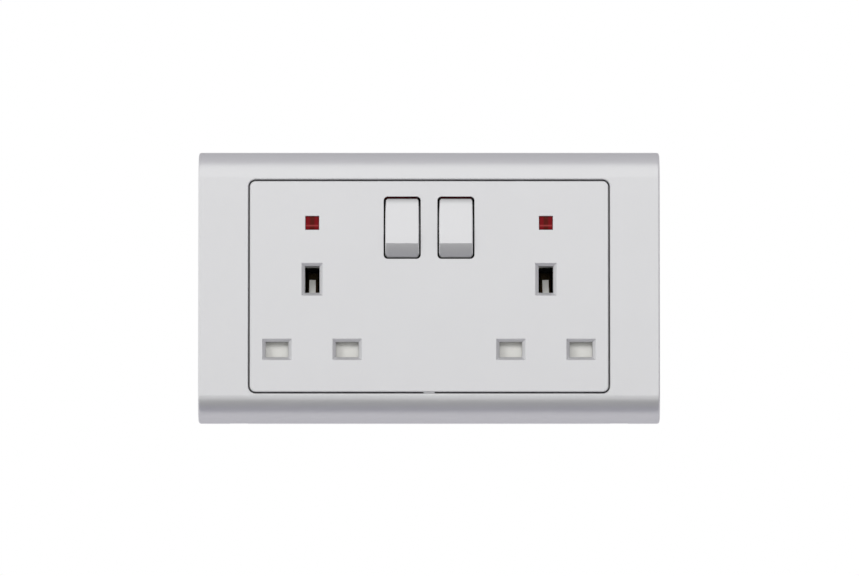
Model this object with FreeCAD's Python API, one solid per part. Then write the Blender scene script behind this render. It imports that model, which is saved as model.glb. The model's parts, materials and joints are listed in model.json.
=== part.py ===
import FreeCAD, Part
import math
import os

V = FreeCAD.Vector

# A twin switched wall socket, in millimetres. X runs to the right, Y into the wall and Z up.
# The origin is the middle of the plate on the surface of the wall, so the front is at minus Y.
# Both switches are off: the lower end of each rocker stands proud.

# Cover frame, clipped over the flange of the front plate
plate_width = 146.0
plate_height = 86.0
plate_depth = 10.0
edge_round = 8.5             # the quarter round of the top and bottom edges
frame_wall = 2.0
frame_end_round = 0.8
end_steps = 3                # flats that stand for the round at each end of the frame
slit = 0.45                  # the dark line between the frame and the panel
crisp_edge = 0.25            # the small bevel on the front edges of panel and window
lip_wall = 1.4
lip_depth = 5.0
hook_x = 45.0
hook_width = 6.0
hook_thickness = 1.4
hook_catch = 0.7
hook_inset = 2.4             # from the edge of the flange in to a hook
hook_tip = 0.3               # from the end of a hook to the wall
hook_play = 0.2
ledge_depth = 0.95           # from the front of the flange back to the ledge that holds a hook
ledge_play = 0.05
pry_x = 60.2
pry_width = 5.8
pry_depth = 1.2

# Front plate: the panel with its side walls, and the flange behind the frame
panel_width = 113.4
panel_height = 66.85
panel_corner = 1.9
panel_face = 2.4
panel_wall = 2.0
flange_clearance = 1.0
flange_thickness = 2.6
flange_corner = 3.0
fixing_spacing = 120.6
fixing_radius = 2.0
tab_width = 3.6              # the release tab in the slit under the panel
tab_depth = 0.8
tab_play = 0.05

# Outlets
outlet_in = 19.75            # from the side of the panel in to the middle of an outlet
earth_z = 2.2
pin_drop = 22.2              # from the earth pin down to the other two
pin_spread = 11.1            # from the middle of an outlet to a side pin
earth_slot_width = 4.6
earth_slot_height = 8.4
pin_slot_width = 7.15
pin_slot_height = 4.8
bevel_side = 1.1
bevel_rise = 0.98            # above and below a slot
bevel_depth = 1.0
pad_wall = 1.5

# Rockers and what carries them
rocker_x = 8.5
rocker_drop = 15.0           # from the upper edge of the panel down to the rockers' pivots
opening_width = 11.7
opening_height = 19.7
opening_up = 0.15            # from a pivot up to the middle of its opening
opening_corner = 1.3
opening_taper = 0.9          # the opening grows by this much, above and below, towards its back
rocker_gap = 0.5             # beside a rocker, in its opening
rocker_throw = 11.0          # degrees from off to on
pivot_depth = 5.5            # from the front face back to the pivot
rocker_end_radius = 10.65
rocker_sink = 0.3            # the upper edge lies this far below the face when off
rocker_rise = 2.4            # and the ridge stands this far above it
rocker_toe_rise = 0.3
ridge_drop = 5.0             # from the pivot down to the ridge
rocker_dish = 0.37
rocker_skirt = 1.0           # the ends reach back to this distance before the pivot
rocker_skin = 1.5
ridge_skin = 1.8
hollow_step = 0.3            # the hollow is shorter by this much, at each end, near the face
rocker_edge = 0.3            # the bevel along the sides of the rocker's face
rocker_corner = 0.65         # and the one at its four corners
trunnion_radius = 1.45
trunnion_play = 0.05
trunnion_length = 2.65
cheek_wall = 1.0             # round a trunnion
bearing_wall = 2.0
bearing_gap = 0.2            # from the opening to the bearing wall beside it
bearing_reach = 3.2          # the bearing walls end this far behind the pivot
bearing_height = 7.0
stem_radius = 2.5
stem_reach = 4.2
bore_depth = 7.7
bore_radius = 1.5
plunger_play = 0.06
plunger_rest_gap = 0.273     # between the flat of its nose and the lever, at mid travel
plunger_nose = 0.72          # radius of its blunt end
plunger_nose_length = 1.25
plunger_inside = 3.2         # how much of the plunger is in the stem
spring_play = 0.1
wire = 0.4                   # side of the springs' wire
coil_stations = 6            # straight stretches in one turn of a spring
plunger_coils = 4
shutter_coils = 5

# Contact levers and their fulcrums
lever_pivot_y = 6.0
lever_width = 5.0
lever_up = 8.0
lever_down = 6.0
lever_lip = 1.2
lever_ratio = 2.0            # the lever turns back by this many times the rocker's turn
brass = 0.8                  # sheet thickness of all contact parts
fulcrum_gap = 0.12
ear_width = 0.6
ear_gap = 0.2
ear_reach = 1.4
button_up = 6.5              # from the fulcrum up to the moving contact
button_radius = 1.4
button_rim = 0.35
button_crown = 0.22
button_top = 1.17            # radius of the flat inside its bevelled rim
fixed_contact_radius = 1.6
fixed_contact_height = 0.15

# Neon windows, lamps and resistors
lens_z = 20.1
lens_side = 4.4
lens_play = 0.05
lens_sink = 0.15
lens_flange_side = 6.4
lens_flange = 0.8
lamp_radius = 1.6
lamp_half_length = 4.4
lamp_bevel = 0.25
lamp_depth = 5.3             # from the front face back to the axis of lamp and resistor
cradle_width = 6.0
cradle_wall = 1.0
cradle_play = 0.05
lamp_cradle_half = 4.0
resistor_drop = 8.0          # from the middle of the lens down to the middle of the resistor
resistor_radius = 1.1
resistor_half_length = 2.3
resistor_cradle_half = 1.6
lead_radius = 0.25
lead_sides = 5

# Shutters, guides and their springs
guide_thickness = 1.3
guide_rail = 0.8
shutter_play = 0.15
shutter_side_play = 0.2
shutter_thickness = 2.0
shutter_overlap = 0.7        # beyond the slot, at each side
shutter_rise = 0.25          # above and below the slot
shutter_travel = 5.0
bridge_height = 1.5          # of the blade, above the notch for its spring
notch_room = 0.4             # beside the spring, in that notch
arm_width = 3.4
blade_join = 0.5
ramp_width = 2.0
ramp_low = 4.3               # from the middle of the earth slot down to the front end of the ramp
ramp_high = 0.5              # and up to its back end
ramp_depth = 6.05
ramp_foot = 2.5
ramp_cap = 2.0
ramp_flat = 0.5
ramp_play = 0.3
shutter_spring_radius = 1.4
peg_half = 0.5               # half the side of the pegs inside the ends of the spring
peg_length = 1.2
guide_foot = 1.2
guide_floor = 0.975          # from the lower side wall of the panel up to a guide

# Pin contacts
contact_width = 5.5
earth_contact_width = 7.0
contact_mouth_y = 0.2
contact_base_y = 8.2
earth_mouth_y = 0.5
earth_base_y = 13.5
nip = 3.2
flare = 1.3
nip_run = 2.3
belly_run = 5.0
belly = 0.8

# Bars and links
neutral_bar_rise = 6.5       # from the side pins up to the bar
neutral_bar_front = 2.0
neutral_bar_width = 5.0
live_bar_y = 10.9
live_bar_height = 5.5
bar_width = 6.0
link_width = 4.0
link_side_z = 14.0
link_side_x = 19.0
link_past = 1.0              # a link runs on by this much past its fixed contact

# Terminals
terminal_pitch = 9.8
terminal_width = 8.0
terminal_front = 7.0
terminal_height = 9.0
terminal_gap = 0.2           # from the floor of the housing up to the terminals
wire_bore_radius = 2.15
wire_bore_y = 10.6
wire_bore_length = 7.5
clamp_radius = 1.75
clamp_play = 0.05
clamp_tip_gap = 0.3          # between the tip of a raised clamp screw and the wire bore
clamp_proud = 1.5            # of a raised clamp screw, behind its block
clamp_access = 2.2           # half the side of the hole for the screwdriver

# Rear housing and its screws
housing_side = 0.825         # from the panel's side walls in to the sides of the housing
housing_rise = 1.925         # and from those above and below
housing_depth = 19.0
housing_wall = 1.8
housing_back = 2.0
housing_flange = 1.6
housing_play = 0.225
screw_in = 3.8               # from the side of the housing in to a screw
screw_down = 2.7             # and from its top down
bay_x = 3.7                  # from a screw in to the wall of its bay
bay_z = 2.9
boss_radius = 2.6
screw_radius = 1.45
screw_play = 0.05
screw_hole_play = 0.15
screw_length = 6.0
pilot_rest = 0.5             # from the tip of a screw to the end of its hole
screw_head_radius = 2.1
screw_head_height = 1.6
driver_slot = 0.9
driver_depth = 0.8
tongue_x = 24.0
tongue_width = 8.0
tongue_front = 1.2           # from the wall to the front and the back of a tongue
tongue_back = 0.4
tongue_reach = 1.0
tongue_play = 0.1
post = 2.5                   # half the side of the posts that carry the bars
partition = 1.2
wire_door = 6.0

# Worked out from the sizes above
front = -plate_depth
face_back = front + panel_face
pivot_y = front + pivot_depth
window_width = panel_width + 2 * slit
window_height = panel_height + 2 * slit
flange_width = plate_width - 2 * (frame_wall + flange_clearance)
flange_height = plate_height - 2 * (frame_wall + flange_clearance)
cavity_width = panel_width - 2 * panel_wall
cavity_height = panel_height - 2 * panel_wall
outlet_x = panel_width / 2 - outlet_in
pin_z = earth_z - pin_drop
housing_width = cavity_width - 2 * housing_side
housing_height = cavity_height - 2 * housing_rise
screw_x = housing_width / 2 - screw_in
screw_z = housing_height / 2 - screw_down
rocker_z = panel_height / 2 - rocker_drop
guide_back = -housing_flange
guide_front = guide_back - guide_thickness
shutter_back = guide_front - shutter_play
shutter_front = shutter_back - shutter_thickness
pad_back = shutter_front - shutter_play
lamp_y = front + lamp_depth
resistor_z = lens_z - resistor_drop
back_wall_y = housing_depth - housing_back
plunger_radius = bore_radius - plunger_play
plunger_tip = lever_pivot_y - pivot_y - brass - plunger_rest_gap
off_tilt = rocker_throw / 2
lever_tilt = off_tilt * lever_ratio
link_top_z = rocker_z + button_up * math.cos(math.radians(lever_tilt))
blade_half = pin_spread + pin_slot_width / 2 + shutter_overlap
blade_top = pin_z + pin_slot_height / 2 + shutter_rise
blade_bottom = pin_z - pin_slot_height / 2 - shutter_rise
bridge_bottom = blade_top - bridge_height
guide_bottom = -cavity_height / 2 + guide_floor
spring_foot = guide_bottom + guide_foot
spring_y = guide_front - shutter_play - shutter_spring_radius
rail_x = blade_half + shutter_side_play
terminal_bottom = -housing_height / 2 + housing_wall + terminal_gap
terminal_z = terminal_bottom + terminal_height / 2
terminal_top = terminal_bottom + terminal_height
neutral_bar_z = pin_z + neutral_bar_rise
touch = 0.01                 # closer than this counts as the same place
askew = V(1, 0.3, 0.2)       # a direction that none of the wires takes


def block(x, y, z):
    """A box between a low and a high value along each axis."""
    return Part.makeBox(x[1] - x[0], y[1] - y[0], z[1] - z[0], V(x[0], y[0], z[0]))


def around(middle, half):
    """The low and high value at half a width either side of a middle."""
    return (middle - half, middle + half)


def rod(start, end, radius):
    """A round rod between two points."""
    run = V(*end) - V(*start)
    return Part.makeCylinder(radius, run.Length, V(*start), run)


def outline(x, z, width, height, radius, y):
    """A closed wire at depth y: a rectangle with round corners, its middle at x, z."""
    edges = []
    ends = []
    for turn in range(4):
        side = (1, -1, -1, 1)[turn]
        rise = (1, 1, -1, -1)[turn]
        middle = V(x + side * (width / 2 - radius), y, z + rise * (height / 2 - radius))
        arc = [
            middle + V(radius * math.cos(a), 0, radius * math.sin(a))
            for a in (math.pi / 4 * (2 * turn + step) for step in range(3))
        ]
        edges.append(Part.Arc(*arc).toShape())
        ends.append((arc[0], arc[2]))
    for turn in range(4):
        edges.append(Part.makeLine(ends[turn][1], ends[(turn + 1) % 4][0]))
    return Part.Wire(Part.__sortEdges__(edges))


def slab(x, z, width, height, radius, y0, y1):
    """A plate with round corners, between two depths."""
    return Part.Face(outline(x, z, width, height, radius, y0)).extrude(V(0, y1 - y0, 0))


def funnel(x, z, front_size, back_size, radius, y0, y1):
    """A tapered plug whose width and height change between two depths."""
    near = outline(x, z, front_size[0], front_size[1], radius, y0)
    far = outline(x, z, back_size[0], back_size[1], radius, y1)
    return Part.makeLoft([near, far], True, True)


def prism_x(points, x0, x1):
    """A flat outline of (y, z) points, carried from x0 to x1."""
    wire = Part.makePolygon([V(x0, y, z) for y, z in points + points[:1]])
    return Part.Face(wire).extrude(V(x1 - x0, 0, 0))


def prism_z(points, z0, z1):
    """A flat outline of (x, y) points, carried from z0 to z1."""
    wire = Part.makePolygon([V(x, y, z0) for x, y in points + points[:1]])
    return Part.Face(wire).extrude(V(0, 0, z1 - z0))


def strip(points, thickness):
    """The outline of a bent strip: its points, and the same bends offset to their left."""
    far = []
    for i in range(len(points)):
        normals = []
        for j in (i - 1, i):
            if 0 <= j < len(points) - 1:
                du = points[j + 1][0] - points[j][0]
                dv = points[j + 1][1] - points[j][1]
                length = math.hypot(du, dv)
                normals.append((-dv / length, du / length))
        mu = sum(n[0] for n in normals)
        mv = sum(n[1] for n in normals)
        scale = thickness / (mu * normals[0][0] + mv * normals[0][1])
        far.append((points[i][0] + mu * scale, points[i][1] + mv * scale))
    return points + far[::-1]


def wire_path(points, radius):
    """A many-sided wire through a few points, each run carried on by its radius past a bend."""
    runs = []
    for i in range(len(points) - 1):
        start = V(*points[i])
        run = (V(*points[i + 1]) - start).normalize()
        first = start - run * (radius * (i > 0))
        length = (V(*points[i + 1]) - first).Length + radius * (i < len(points) - 2)
        side = run.cross(askew).normalize() * radius
        up = run.cross(side)
        turns = [2 * math.pi * k / lead_sides for k in range(lead_sides)]
        ring = [first + side * math.cos(a) + up * math.sin(a) for a in turns]
        runs.append(Part.Face(Part.makePolygon(ring + ring[:1])).extrude(run * length))
    return fuse_all(runs)


def coil(start, end, radius, turns):
    """A coil spring of square wire: rings of four points along a helix, joined by triangles."""
    axis = V(*end) - V(*start)
    length = axis.Length
    axis.normalize()
    side = V(1, 0, 0)
    up = axis.cross(side)
    stations = int(turns * coil_stations)
    rings = []
    for i in range(stations + 1):
        turn = 2 * math.pi * i / coil_stations
        outward = side * math.cos(turn) + up * math.sin(turn)
        along = wire / 2 + (length - wire) * i / stations
        middle = V(*start) + axis * along + outward * (radius - wire / 2)
        rings.append([
            middle + outward * (a * wire / 2) + axis * (b * wire / 2)
            for a, b in ((1, 1), (-1, 1), (-1, -1), (1, -1))
        ])
    faces = [rings[0], rings[-1][::-1]]
    for near, far in zip(rings, rings[1:]):
        for k in range(4):
            m = (k + 1) % 4
            faces.append([near[m], near[k], far[k]])
            faces.append([near[m], far[k], far[m]])
    return Part.Solid(Part.Shell([Part.Face(Part.makePolygon(f + f[:1])) for f in faces]))


def at_front(box):
    """Whether an edge with this bounding box lies in the plane of the front face."""
    return box.YLength < touch and abs(box.YMin - front) < touch


def fuse_all(shapes):
    """All the shapes as one solid."""
    return shapes[0].multiFuse(shapes[1:]).removeSplitter()


def cut_all(shape, tools):
    """The shape less all the tools."""
    return shape.cut(Part.makeCompound(tools))


def picked(shape, wanted):
    """The edges that a test of their bounding box picks out."""
    return [e for e in shape.Edges if wanted(e.BoundBox)]


def frame_profile(x, inset):
    """The frame's outline across its length, drawn in by an inset, at one place along X."""
    top = plate_height / 2 - inset
    face = front + inset
    middle_y = front + edge_round
    middle_z = plate_height / 2 - edge_round
    slant = (edge_round - inset) * math.sqrt(0.5)
    edges = [Part.makeLine(V(0, face, -middle_z), V(0, face, middle_z))]
    for side in (1, -1):
        arc = Part.Arc(
            V(0, face, side * middle_z),
            V(0, middle_y - slant, side * (middle_z + slant)),
            V(0, middle_y, side * top),
        )
        edges.append(arc.toShape())
        edges.append(Part.makeLine(V(0, middle_y, side * top), V(0, 0, side * top)))
    edges.append(Part.makeLine(V(0, 0, -top), V(0, 0, top)))
    profile = Part.Wire(Part.__sortEdges__(edges))
    profile.translate(V(x, 0, 0))
    return profile


def frame_body():
    """The frame's outer form, with its ends rounded in a few steps."""
    profiles = []
    for side in (-1, 1):
        steps = [math.pi / 2 * k / end_steps for k in range(end_steps + 1)]
        for angle in steps[::side]:
            x = plate_width / 2 - frame_end_round + frame_end_round * math.sin(angle)
            profiles.append(frame_profile(side * x, frame_end_round * (1 - math.cos(angle))))
    return Part.makeLoft(profiles, True, True)


def frame_hollow():
    """The space inside the frame, one wall in from its outer form."""
    half = plate_width / 2 - frame_wall
    return Part.Face(frame_profile(-half, frame_wall)).extrude(V(2 * half, 0, 0))


def hook(side):
    """One clip of the frame, pointing back, with its catch on the outer side."""
    outer = flange_height / 2 - hook_inset
    inner = outer - hook_thickness
    rise = inner - plate_height / 2 + edge_round
    root = front + edge_round - math.sqrt((edge_round - frame_wall / 2) ** 2 - rise ** 2)
    ledge = hook_ledge_y()
    points = [
        (root, inner),
        (root, outer),
        (ledge, outer),
        (ledge, outer + hook_catch),
        (-hook_tip, outer),
        (-hook_tip, inner),
    ]
    return [(y, side * z) for y, z in points]


def hook_ledge_y():
    """Where the catch of a hook bears, behind the ledge of its slot."""
    return ledge_depth - flange_thickness


def hook_places():
    """The middle of each hook along X, and whether it is above or below."""
    return [(x, side) for x in (-hook_x, 0.0, hook_x) for side in (1, -1)]


def cover_frame():
    """The clip-on frame: curved above and below, flat at its ends, hollow behind."""
    body = frame_body().cut(frame_hollow())
    lip = slab(0, 0, window_width + 2 * lip_wall, window_height + 2 * lip_wall,
               panel_corner + slit + lip_wall, front + frame_wall / 2, front + lip_depth)
    legs = [
        prism_x(hook(side), x - hook_width / 2, x + hook_width / 2) for x, side in hook_places()
    ]
    body = fuse_all([body, lip] + legs)
    window = slab(0, 0, window_width, window_height, panel_corner + slit, front, 0)
    notches = [
        block(
            around(x, pry_width / 2),
            (-pry_depth, 0),
            (-plate_height / 2, -plate_height / 2 + frame_wall),
        )
        for x in (-pry_x, pry_x)
    ]
    body = cut_all(body, [window] + notches)
    rim = picked(body, lambda b: at_front(b) and abs(b.Center.x) < window_width / 2 + touch)
    return body.makeChamfer(crisp_edge, rim)


def slot_places():
    """Each pin slot as x, z, width and height."""
    places = []
    for side in (-1, 1):
        x = side * outlet_x
        places.append((x, earth_z, earth_slot_width, earth_slot_height))
        for pin in (-1, 1):
            places.append((x + pin * pin_spread, pin_z, pin_slot_width, pin_slot_height))
    return places


def bearing_walls():
    """The walls beside the rocker openings, with a slot for each trunnion, open behind."""
    inner = opening_width / 2 + bearing_gap
    depth = (face_back, pivot_y + bearing_reach)
    height = around(rocker_z, bearing_height / 2)
    near = rocker_x - inner
    far = rocker_x + inner
    walls = [block((-near, near), depth, height)]
    walls += [block(around(side * (far + bearing_wall / 2), bearing_wall / 2), depth, height)
              for side in (-1, 1)]
    seat = trunnion_radius + trunnion_play
    reach = far + bearing_wall
    slot = rod((-reach, pivot_y, rocker_z), (reach, pivot_y, rocker_z), seat)
    way = block((-reach, reach), (pivot_y, depth[1]), around(rocker_z, seat))
    return [cut_all(wall, [slot, way]) for wall in walls]


def cradles(x):
    """Two notched walls that hold the lamp, and two that hold the resistor below it."""
    walls = []
    for z, half, radius in (
        (lens_z, lamp_cradle_half, lamp_radius),
        (resistor_z, resistor_cradle_half, resistor_radius),
    ):
        reach = (radius + cradle_play) * math.sqrt(2)
        notch = [(x, lamp_y - reach), (x + reach, lamp_y), (x - reach, lamp_y)]
        seat = prism_z(notch, z - 2 * half, z + 2 * half)
        for side in (-1, 1):
            wall = block(
                around(x, cradle_width / 2),
                (face_back, lamp_y),
                around(z + side * half, cradle_wall / 2),
            )
            walls.append(wall.cut(seat))
    return walls


def screw_places():
    """The two screws that hold the top of the rear housing, as x and z."""
    return [(-screw_x, screw_z), (screw_x, screw_z)]


def tongues(play):
    """The two tongues under the housing's rim, or with some play the slots that take them."""
    rim = -cavity_height / 2 + housing_play
    return [
        block(
            around(side * tongue_x, tongue_width / 2 + play),
            (-tongue_front - play, -tongue_back + play),
            (rim - tongue_reach - play, rim),
        )
        for side in (-1, 1)
    ]


def front_plate():
    """The panel, its side walls and the flange, with all that is moulded behind its face."""
    panel = slab(0, 0, panel_width, panel_height, panel_corner, front, 0)
    panel = panel.makeChamfer(crisp_edge, picked(panel, at_front))
    flange = slab(0, 0, flange_width, flange_height, flange_corner, -flange_thickness, 0)
    cavity = block(around(0, cavity_width / 2), (face_back, 0), around(0, cavity_height / 2))
    tab = block(
        around(0, tab_width / 2),
        (front + tab_depth, -flange_thickness),
        (-window_height / 2 + tab_play, -panel_height / 2 + panel_wall),
    )
    body = fuse_all([panel, flange, tab]).cut(cavity)
    added = bearing_walls() + cradles(-outlet_x) + cradles(outlet_x)
    added += [
        block(around(x, w / 2 + pad_wall), (face_back, pad_back), around(z, h / 2 + pad_wall))
        for x, z, w, h in slot_places()
    ]
    added += [rod((x, face_back, z), (x, guide_back, z), boss_radius) for x, z in screw_places()]
    body = fuse_all([body] + added)
    holes = tongues(tongue_play)
    for x, z, w, h in slot_places():
        holes.append(bevelled_slot(x, z, w, h))
    wide = (opening_width, opening_height)
    wider = (opening_width, opening_height + 2 * opening_taper)
    middle = rocker_z + opening_up
    for side in (-1, 1):
        holes.append(funnel(side * rocker_x, middle, wide, wider, opening_corner, front, face_back))
        window = (around(side * outlet_x, lens_side / 2), (front, face_back), around(lens_z, lens_side / 2))
        holes.append(block(*window))
        hole_x = side * fixing_spacing / 2
        holes.append(rod((hole_x, -flange_thickness, 0), (hole_x, 0, 0), fixing_radius))
    for x, z in screw_places():
        end = guide_back - screw_length - pilot_rest
        holes.append(rod((x, end, z), (x, guide_back, z), screw_radius + screw_play))
    for x, side in hook_places():
        holes += hook_slot(x, side)
    return cut_all(body, holes)


def bevelled_slot(x, z, width, height):
    """The space of a pin slot: four-sided, wider over its bevel at the front."""
    straight = block(around(x, width / 2), (front, pad_back), around(z, height / 2))
    corners = []
    for y, share in ((front, 1.0), (front + bevel_depth, 0.0)):
        w = width / 2 + bevel_side * share
        h = height / 2 + bevel_rise * share
        ring = [V(x - w, y, z - h), V(x + w, y, z - h), V(x + w, y, z + h), V(x - w, y, z + h)]
        corners.append(Part.makePolygon(ring + ring[:1]))
    return straight.fuse(Part.makeLoft(corners, True, True))


def hook_slot(x, side):
    """The slot that a hook passes, and the recess behind its ledge."""
    points = hook(1)
    inner = points[0][1]
    outer = points[1][1]
    room = around(x, hook_width / 2 + hook_play)
    low = inner - hook_catch - hook_play
    high = outer + hook_play
    recess = high + hook_catch
    parts = [((-flange_thickness, 0), (low, high)), ((hook_ledge_y() - ledge_play, 0), (low, recess))]
    return [block(room, depth, tuple(sorted((side * z[0], side * z[1])))) for depth, z in parts]


def tub(inset, y0, y1):
    """The plan of the rear housing between two depths, drawn in by the inset."""
    half = housing_width / 2 - inset
    rise = housing_height / 2 - inset
    body = block((-half, half), (y0, y1), (-rise, rise))
    bay_side = screw_x - bay_x - inset
    bay_floor = screw_z - bay_z - inset
    bays = [
        block(tuple(sorted((side * bay_side, side * (half + 1)))), (y0, y1), (bay_floor, rise + 1))
        for side in (-1, 1)
    ]
    return cut_all(body, bays)


def terminal_places():
    """The middle of the neutral, earth and live terminals along X."""
    return (-terminal_pitch, 0.0, terminal_pitch)


def post_places():
    """The posts that carry the bars and contacts from behind: x, z and the depth of each seat."""
    pin = contact_base_y + brass
    earth = earth_base_y + brass
    places = [(side * outlet_x, earth_z, earth) for side in (-1, 1)]
    places += [
        (side * outlet_x + pin_side * pin_spread, pin_z, pin) for side in (-1, 1) for pin_side in (-1, 1)
    ]
    places.append((-outlet_x + pin_spread, link_side_z, pin))
    places.append((outlet_x, link_side_z, pin))
    places.append((0.0, rocker_z + brass / 2 - live_bar_height / 2, live_bar_y + brass))
    return places


def rear_housing():
    """The moulded box behind the plate, open in front, with its rim, tongues, posts and partitions."""
    rim = block(
        around(0, cavity_width / 2 - housing_play),
        (-housing_flange, 0),
        around(0, cavity_height / 2 - housing_play),
    )
    body = rim.fuse(tub(0, 0, housing_depth))
    body = body.cut(tub(housing_wall, -housing_flange, back_wall_y))
    body = body.removeSplitter()
    added = [
        block(around(x, post), (seat, back_wall_y + housing_back / 2), around(z, post))
        for x, z, seat in post_places()
    ]
    floor = -housing_height / 2 + housing_wall / 2
    for side in (-1, 1):
        middle = side * terminal_pitch / 2
        added.append(
            block(
                around(middle, partition / 2),
                (terminal_front, back_wall_y + housing_back / 2),
                (floor, terminal_top),
            )
        )
    body = fuse_all([body] + added + tongues(0))
    holes = []
    for x, z in screw_places():
        holes.append(rod((x, -housing_flange, z), (x, 0, z), screw_radius + screw_hole_play))
    for x in terminal_places():
        holes.append(
            block(around(x, clamp_access), (back_wall_y, housing_depth), around(terminal_z, clamp_access))
        )
        holes.append(
            block(
                around(x, wire_door / 2),
                around(wire_bore_y, wire_door / 2),
                (-housing_height / 2, -housing_height / 2 + housing_wall),
            )
        )
    return cut_all(body, holes)


def rocker_point(z, out):
    """A point of the rocker's outline, from its height above the pivot and its distance before it."""
    return V(0, pivot_y - out, rocker_z + z)


def rocker_end(out, side):
    """The height at which the rocker's round end meets a distance before the pivot."""
    return side * math.sqrt(rocker_end_radius ** 2 - out ** 2)


def rocker_wheel(x, half):
    """The disc that a rocker turns in, its rims bevelled to take off the rocker's corners."""
    parts = []
    for low, high in ((-half, rocker_corner - half), (half, half - rocker_corner)):
        start = V(x + low, pivot_y, rocker_z)
        run = V(high - low, 0, 0)
        narrow = rocker_end_radius - rocker_corner
        parts.append(Part.makeCone(narrow, rocker_end_radius, rocker_corner, start, run))
    root = (x + rocker_corner - half, pivot_y, rocker_z)
    parts.append(rod(root, (x + half - rocker_corner, pivot_y, rocker_z), rocker_end_radius))
    return fuse_all(parts)


def stem_point(x, along):
    """A point on the axis of a rocker's stem, behind its pivot, in the off position."""
    tilt = math.radians(off_tilt)
    return (x, pivot_y + along * math.cos(tilt), rocker_z - along * math.sin(tilt))


def rocker(x):
    """One rocker: dished upper face, ridge, lower face, round ends, and a hollow back with a stem."""
    top_out = pivot_depth - rocker_sink
    toe_out = pivot_depth + rocker_toe_rise
    top = rocker_point(rocker_end(top_out, 1), top_out)
    ridge = rocker_point(-ridge_drop, pivot_depth + rocker_rise)
    toe = rocker_point(rocker_end(toe_out, -1), toe_out)
    along = (top - ridge).normalize()
    dish = (top + ridge) * 0.5 + V(0, along.z, -along.y) * rocker_dish
    half = opening_width / 2 - rocker_gap
    low = rocker_point(rocker_end(rocker_skirt, -1), rocker_skirt)
    high = rocker_point(rocker_end(rocker_skirt, 1), rocker_skirt)
    middle = (rocker_skirt + pivot_depth) / 2
    edges = [
        Part.Arc(top, dish, ridge).toShape(),
        Part.makeLine(ridge, toe),
        Part.Arc(toe, rocker_point(rocker_end(middle, -1), middle), low).toShape(),
        Part.makeLine(low, high),
        Part.Arc(high, rocker_point(rocker_end(middle, 1), middle), top).toShape(),
    ]
    profile = Part.Face(Part.Wire(edges))
    profile.translate(V(x - half, 0, 0))
    body = profile.extrude(V(2 * half, 0, 0))
    face_edges = picked(body, lambda b: b.XLength < touch and b.YMax < front + rocker_rise)
    body = body.makeChamfer(rocker_edge, face_edges).common(rocker_wheel(x, half))
    inner = half - rocker_skin
    hollow_end = rocker_end_radius - rocker_skin - hollow_step
    hollow = prism_x(
        [
            (pivot_y - rocker_skirt, rocker_z - hollow_end),
            (toe.y + rocker_skin, rocker_z - hollow_end + hollow_step),
            (ridge.y + ridge_skin, ridge.z),
            (top.y + rocker_skin, rocker_z + hollow_end - hollow_step),
            (pivot_y - rocker_skirt, rocker_z + hollow_end),
        ],
        x - inner,
        x + inner,
    )
    stem = rod(stem_point(x, -pivot_depth), stem_point(x, stem_reach), stem_radius)
    web = block(around(x, inner), (front, pivot_y - rocker_skirt), around(rocker_z, rocker_skin / 2))
    parts = [body.cut(hollow), stem, web]
    lobe = trunnion_radius + cheek_wall
    cheek = [
        (pivot_y - rocker_skirt - rocker_skin, rocker_z - lobe),
        (pivot_y, rocker_z - lobe),
        (pivot_y + lobe, rocker_z - lobe / 2),
        (pivot_y + lobe, rocker_z + lobe / 2),
        (pivot_y, rocker_z + lobe),
        (pivot_y - rocker_skirt - rocker_skin, rocker_z + lobe),
    ]
    for side in (-1, 1):
        parts.append(prism_x(cheek, x + side * inner, x + side * half))
        root = (x + side * half, pivot_y, rocker_z)
        tip = (x + side * (half + trunnion_length), pivot_y, rocker_z)
        parts.append(rod(root, tip, trunnion_radius))
    bore = rod(stem_point(x, stem_reach - bore_depth), stem_point(x, stem_reach), bore_radius)
    return fuse_all(parts).cut(bore)


def plunger(x):
    """The pin in the stem, with a round nose that bears on the lever."""
    start = V(*stem_point(x, stem_reach - plunger_inside))
    end = V(*stem_point(x, plunger_tip - plunger_nose_length))
    shank = rod(tuple(start), tuple(end), plunger_radius)
    nose = Part.makeCone(plunger_radius, plunger_nose, plunger_nose_length, end, end - start)
    return fuse_all([shank, nose])


def plunger_spring(x):
    """The spring between the end of the stem's bore and the plunger."""
    return coil(
        stem_point(x, stem_reach - bore_depth),
        stem_point(x, stem_reach - plunger_inside),
        bore_radius - spring_play,
        plunger_coils,
    )


def tilted(shape, x):
    """A lever part turned about its fulcrum from mid travel to the off position."""
    shape.rotate(V(x, lever_pivot_y, rocker_z), V(1, 0, 0), lever_tilt)
    return shape


def contact_lever(x):
    """The strip that rocks on the fulcrum, with a bent lower lip."""
    points = [
        (-lever_lip, -lever_down - lever_lip),
        (0.0, -lever_down),
        (0.0, lever_up),
    ]
    flat = [(lever_pivot_y + y, rocker_z + z) for y, z in strip(points, brass)]
    return tilted(prism_x(flat, x - lever_width / 2, x + lever_width / 2), x)


def moving_contact(x):
    """The silver button brazed to the back of the lever, with a bevelled rim."""
    start = (x, lever_pivot_y, rocker_z + button_up)
    rim_end = (x, lever_pivot_y + button_rim, rocker_z + button_up)
    crown = Part.makeCone(button_radius, button_top, button_crown, V(*rim_end), V(0, 1, 0))
    return tilted(fuse_all([rod(start, rim_end, button_radius), crown]), x)


def fixed_contact(x):
    """The silver pad on the link, where the lever's button lands when the switch is on."""
    return rod(
        (x, contact_base_y - fixed_contact_height, link_top_z),
        (x, contact_base_y, link_top_z),
        fixed_contact_radius,
    )


def clip(mouth_y, base_y):
    """The outline of a pin contact: two sprung leaves and the base that joins them."""
    half = [
        (mouth_y, nip / 2 + flare),
        (mouth_y + nip_run, nip / 2),
        (mouth_y + belly_run, nip / 2 + belly),
        (base_y, nip / 2 + belly),
    ]
    return strip(half + [(y, -s) for y, s in reversed(half)], brass)


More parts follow.
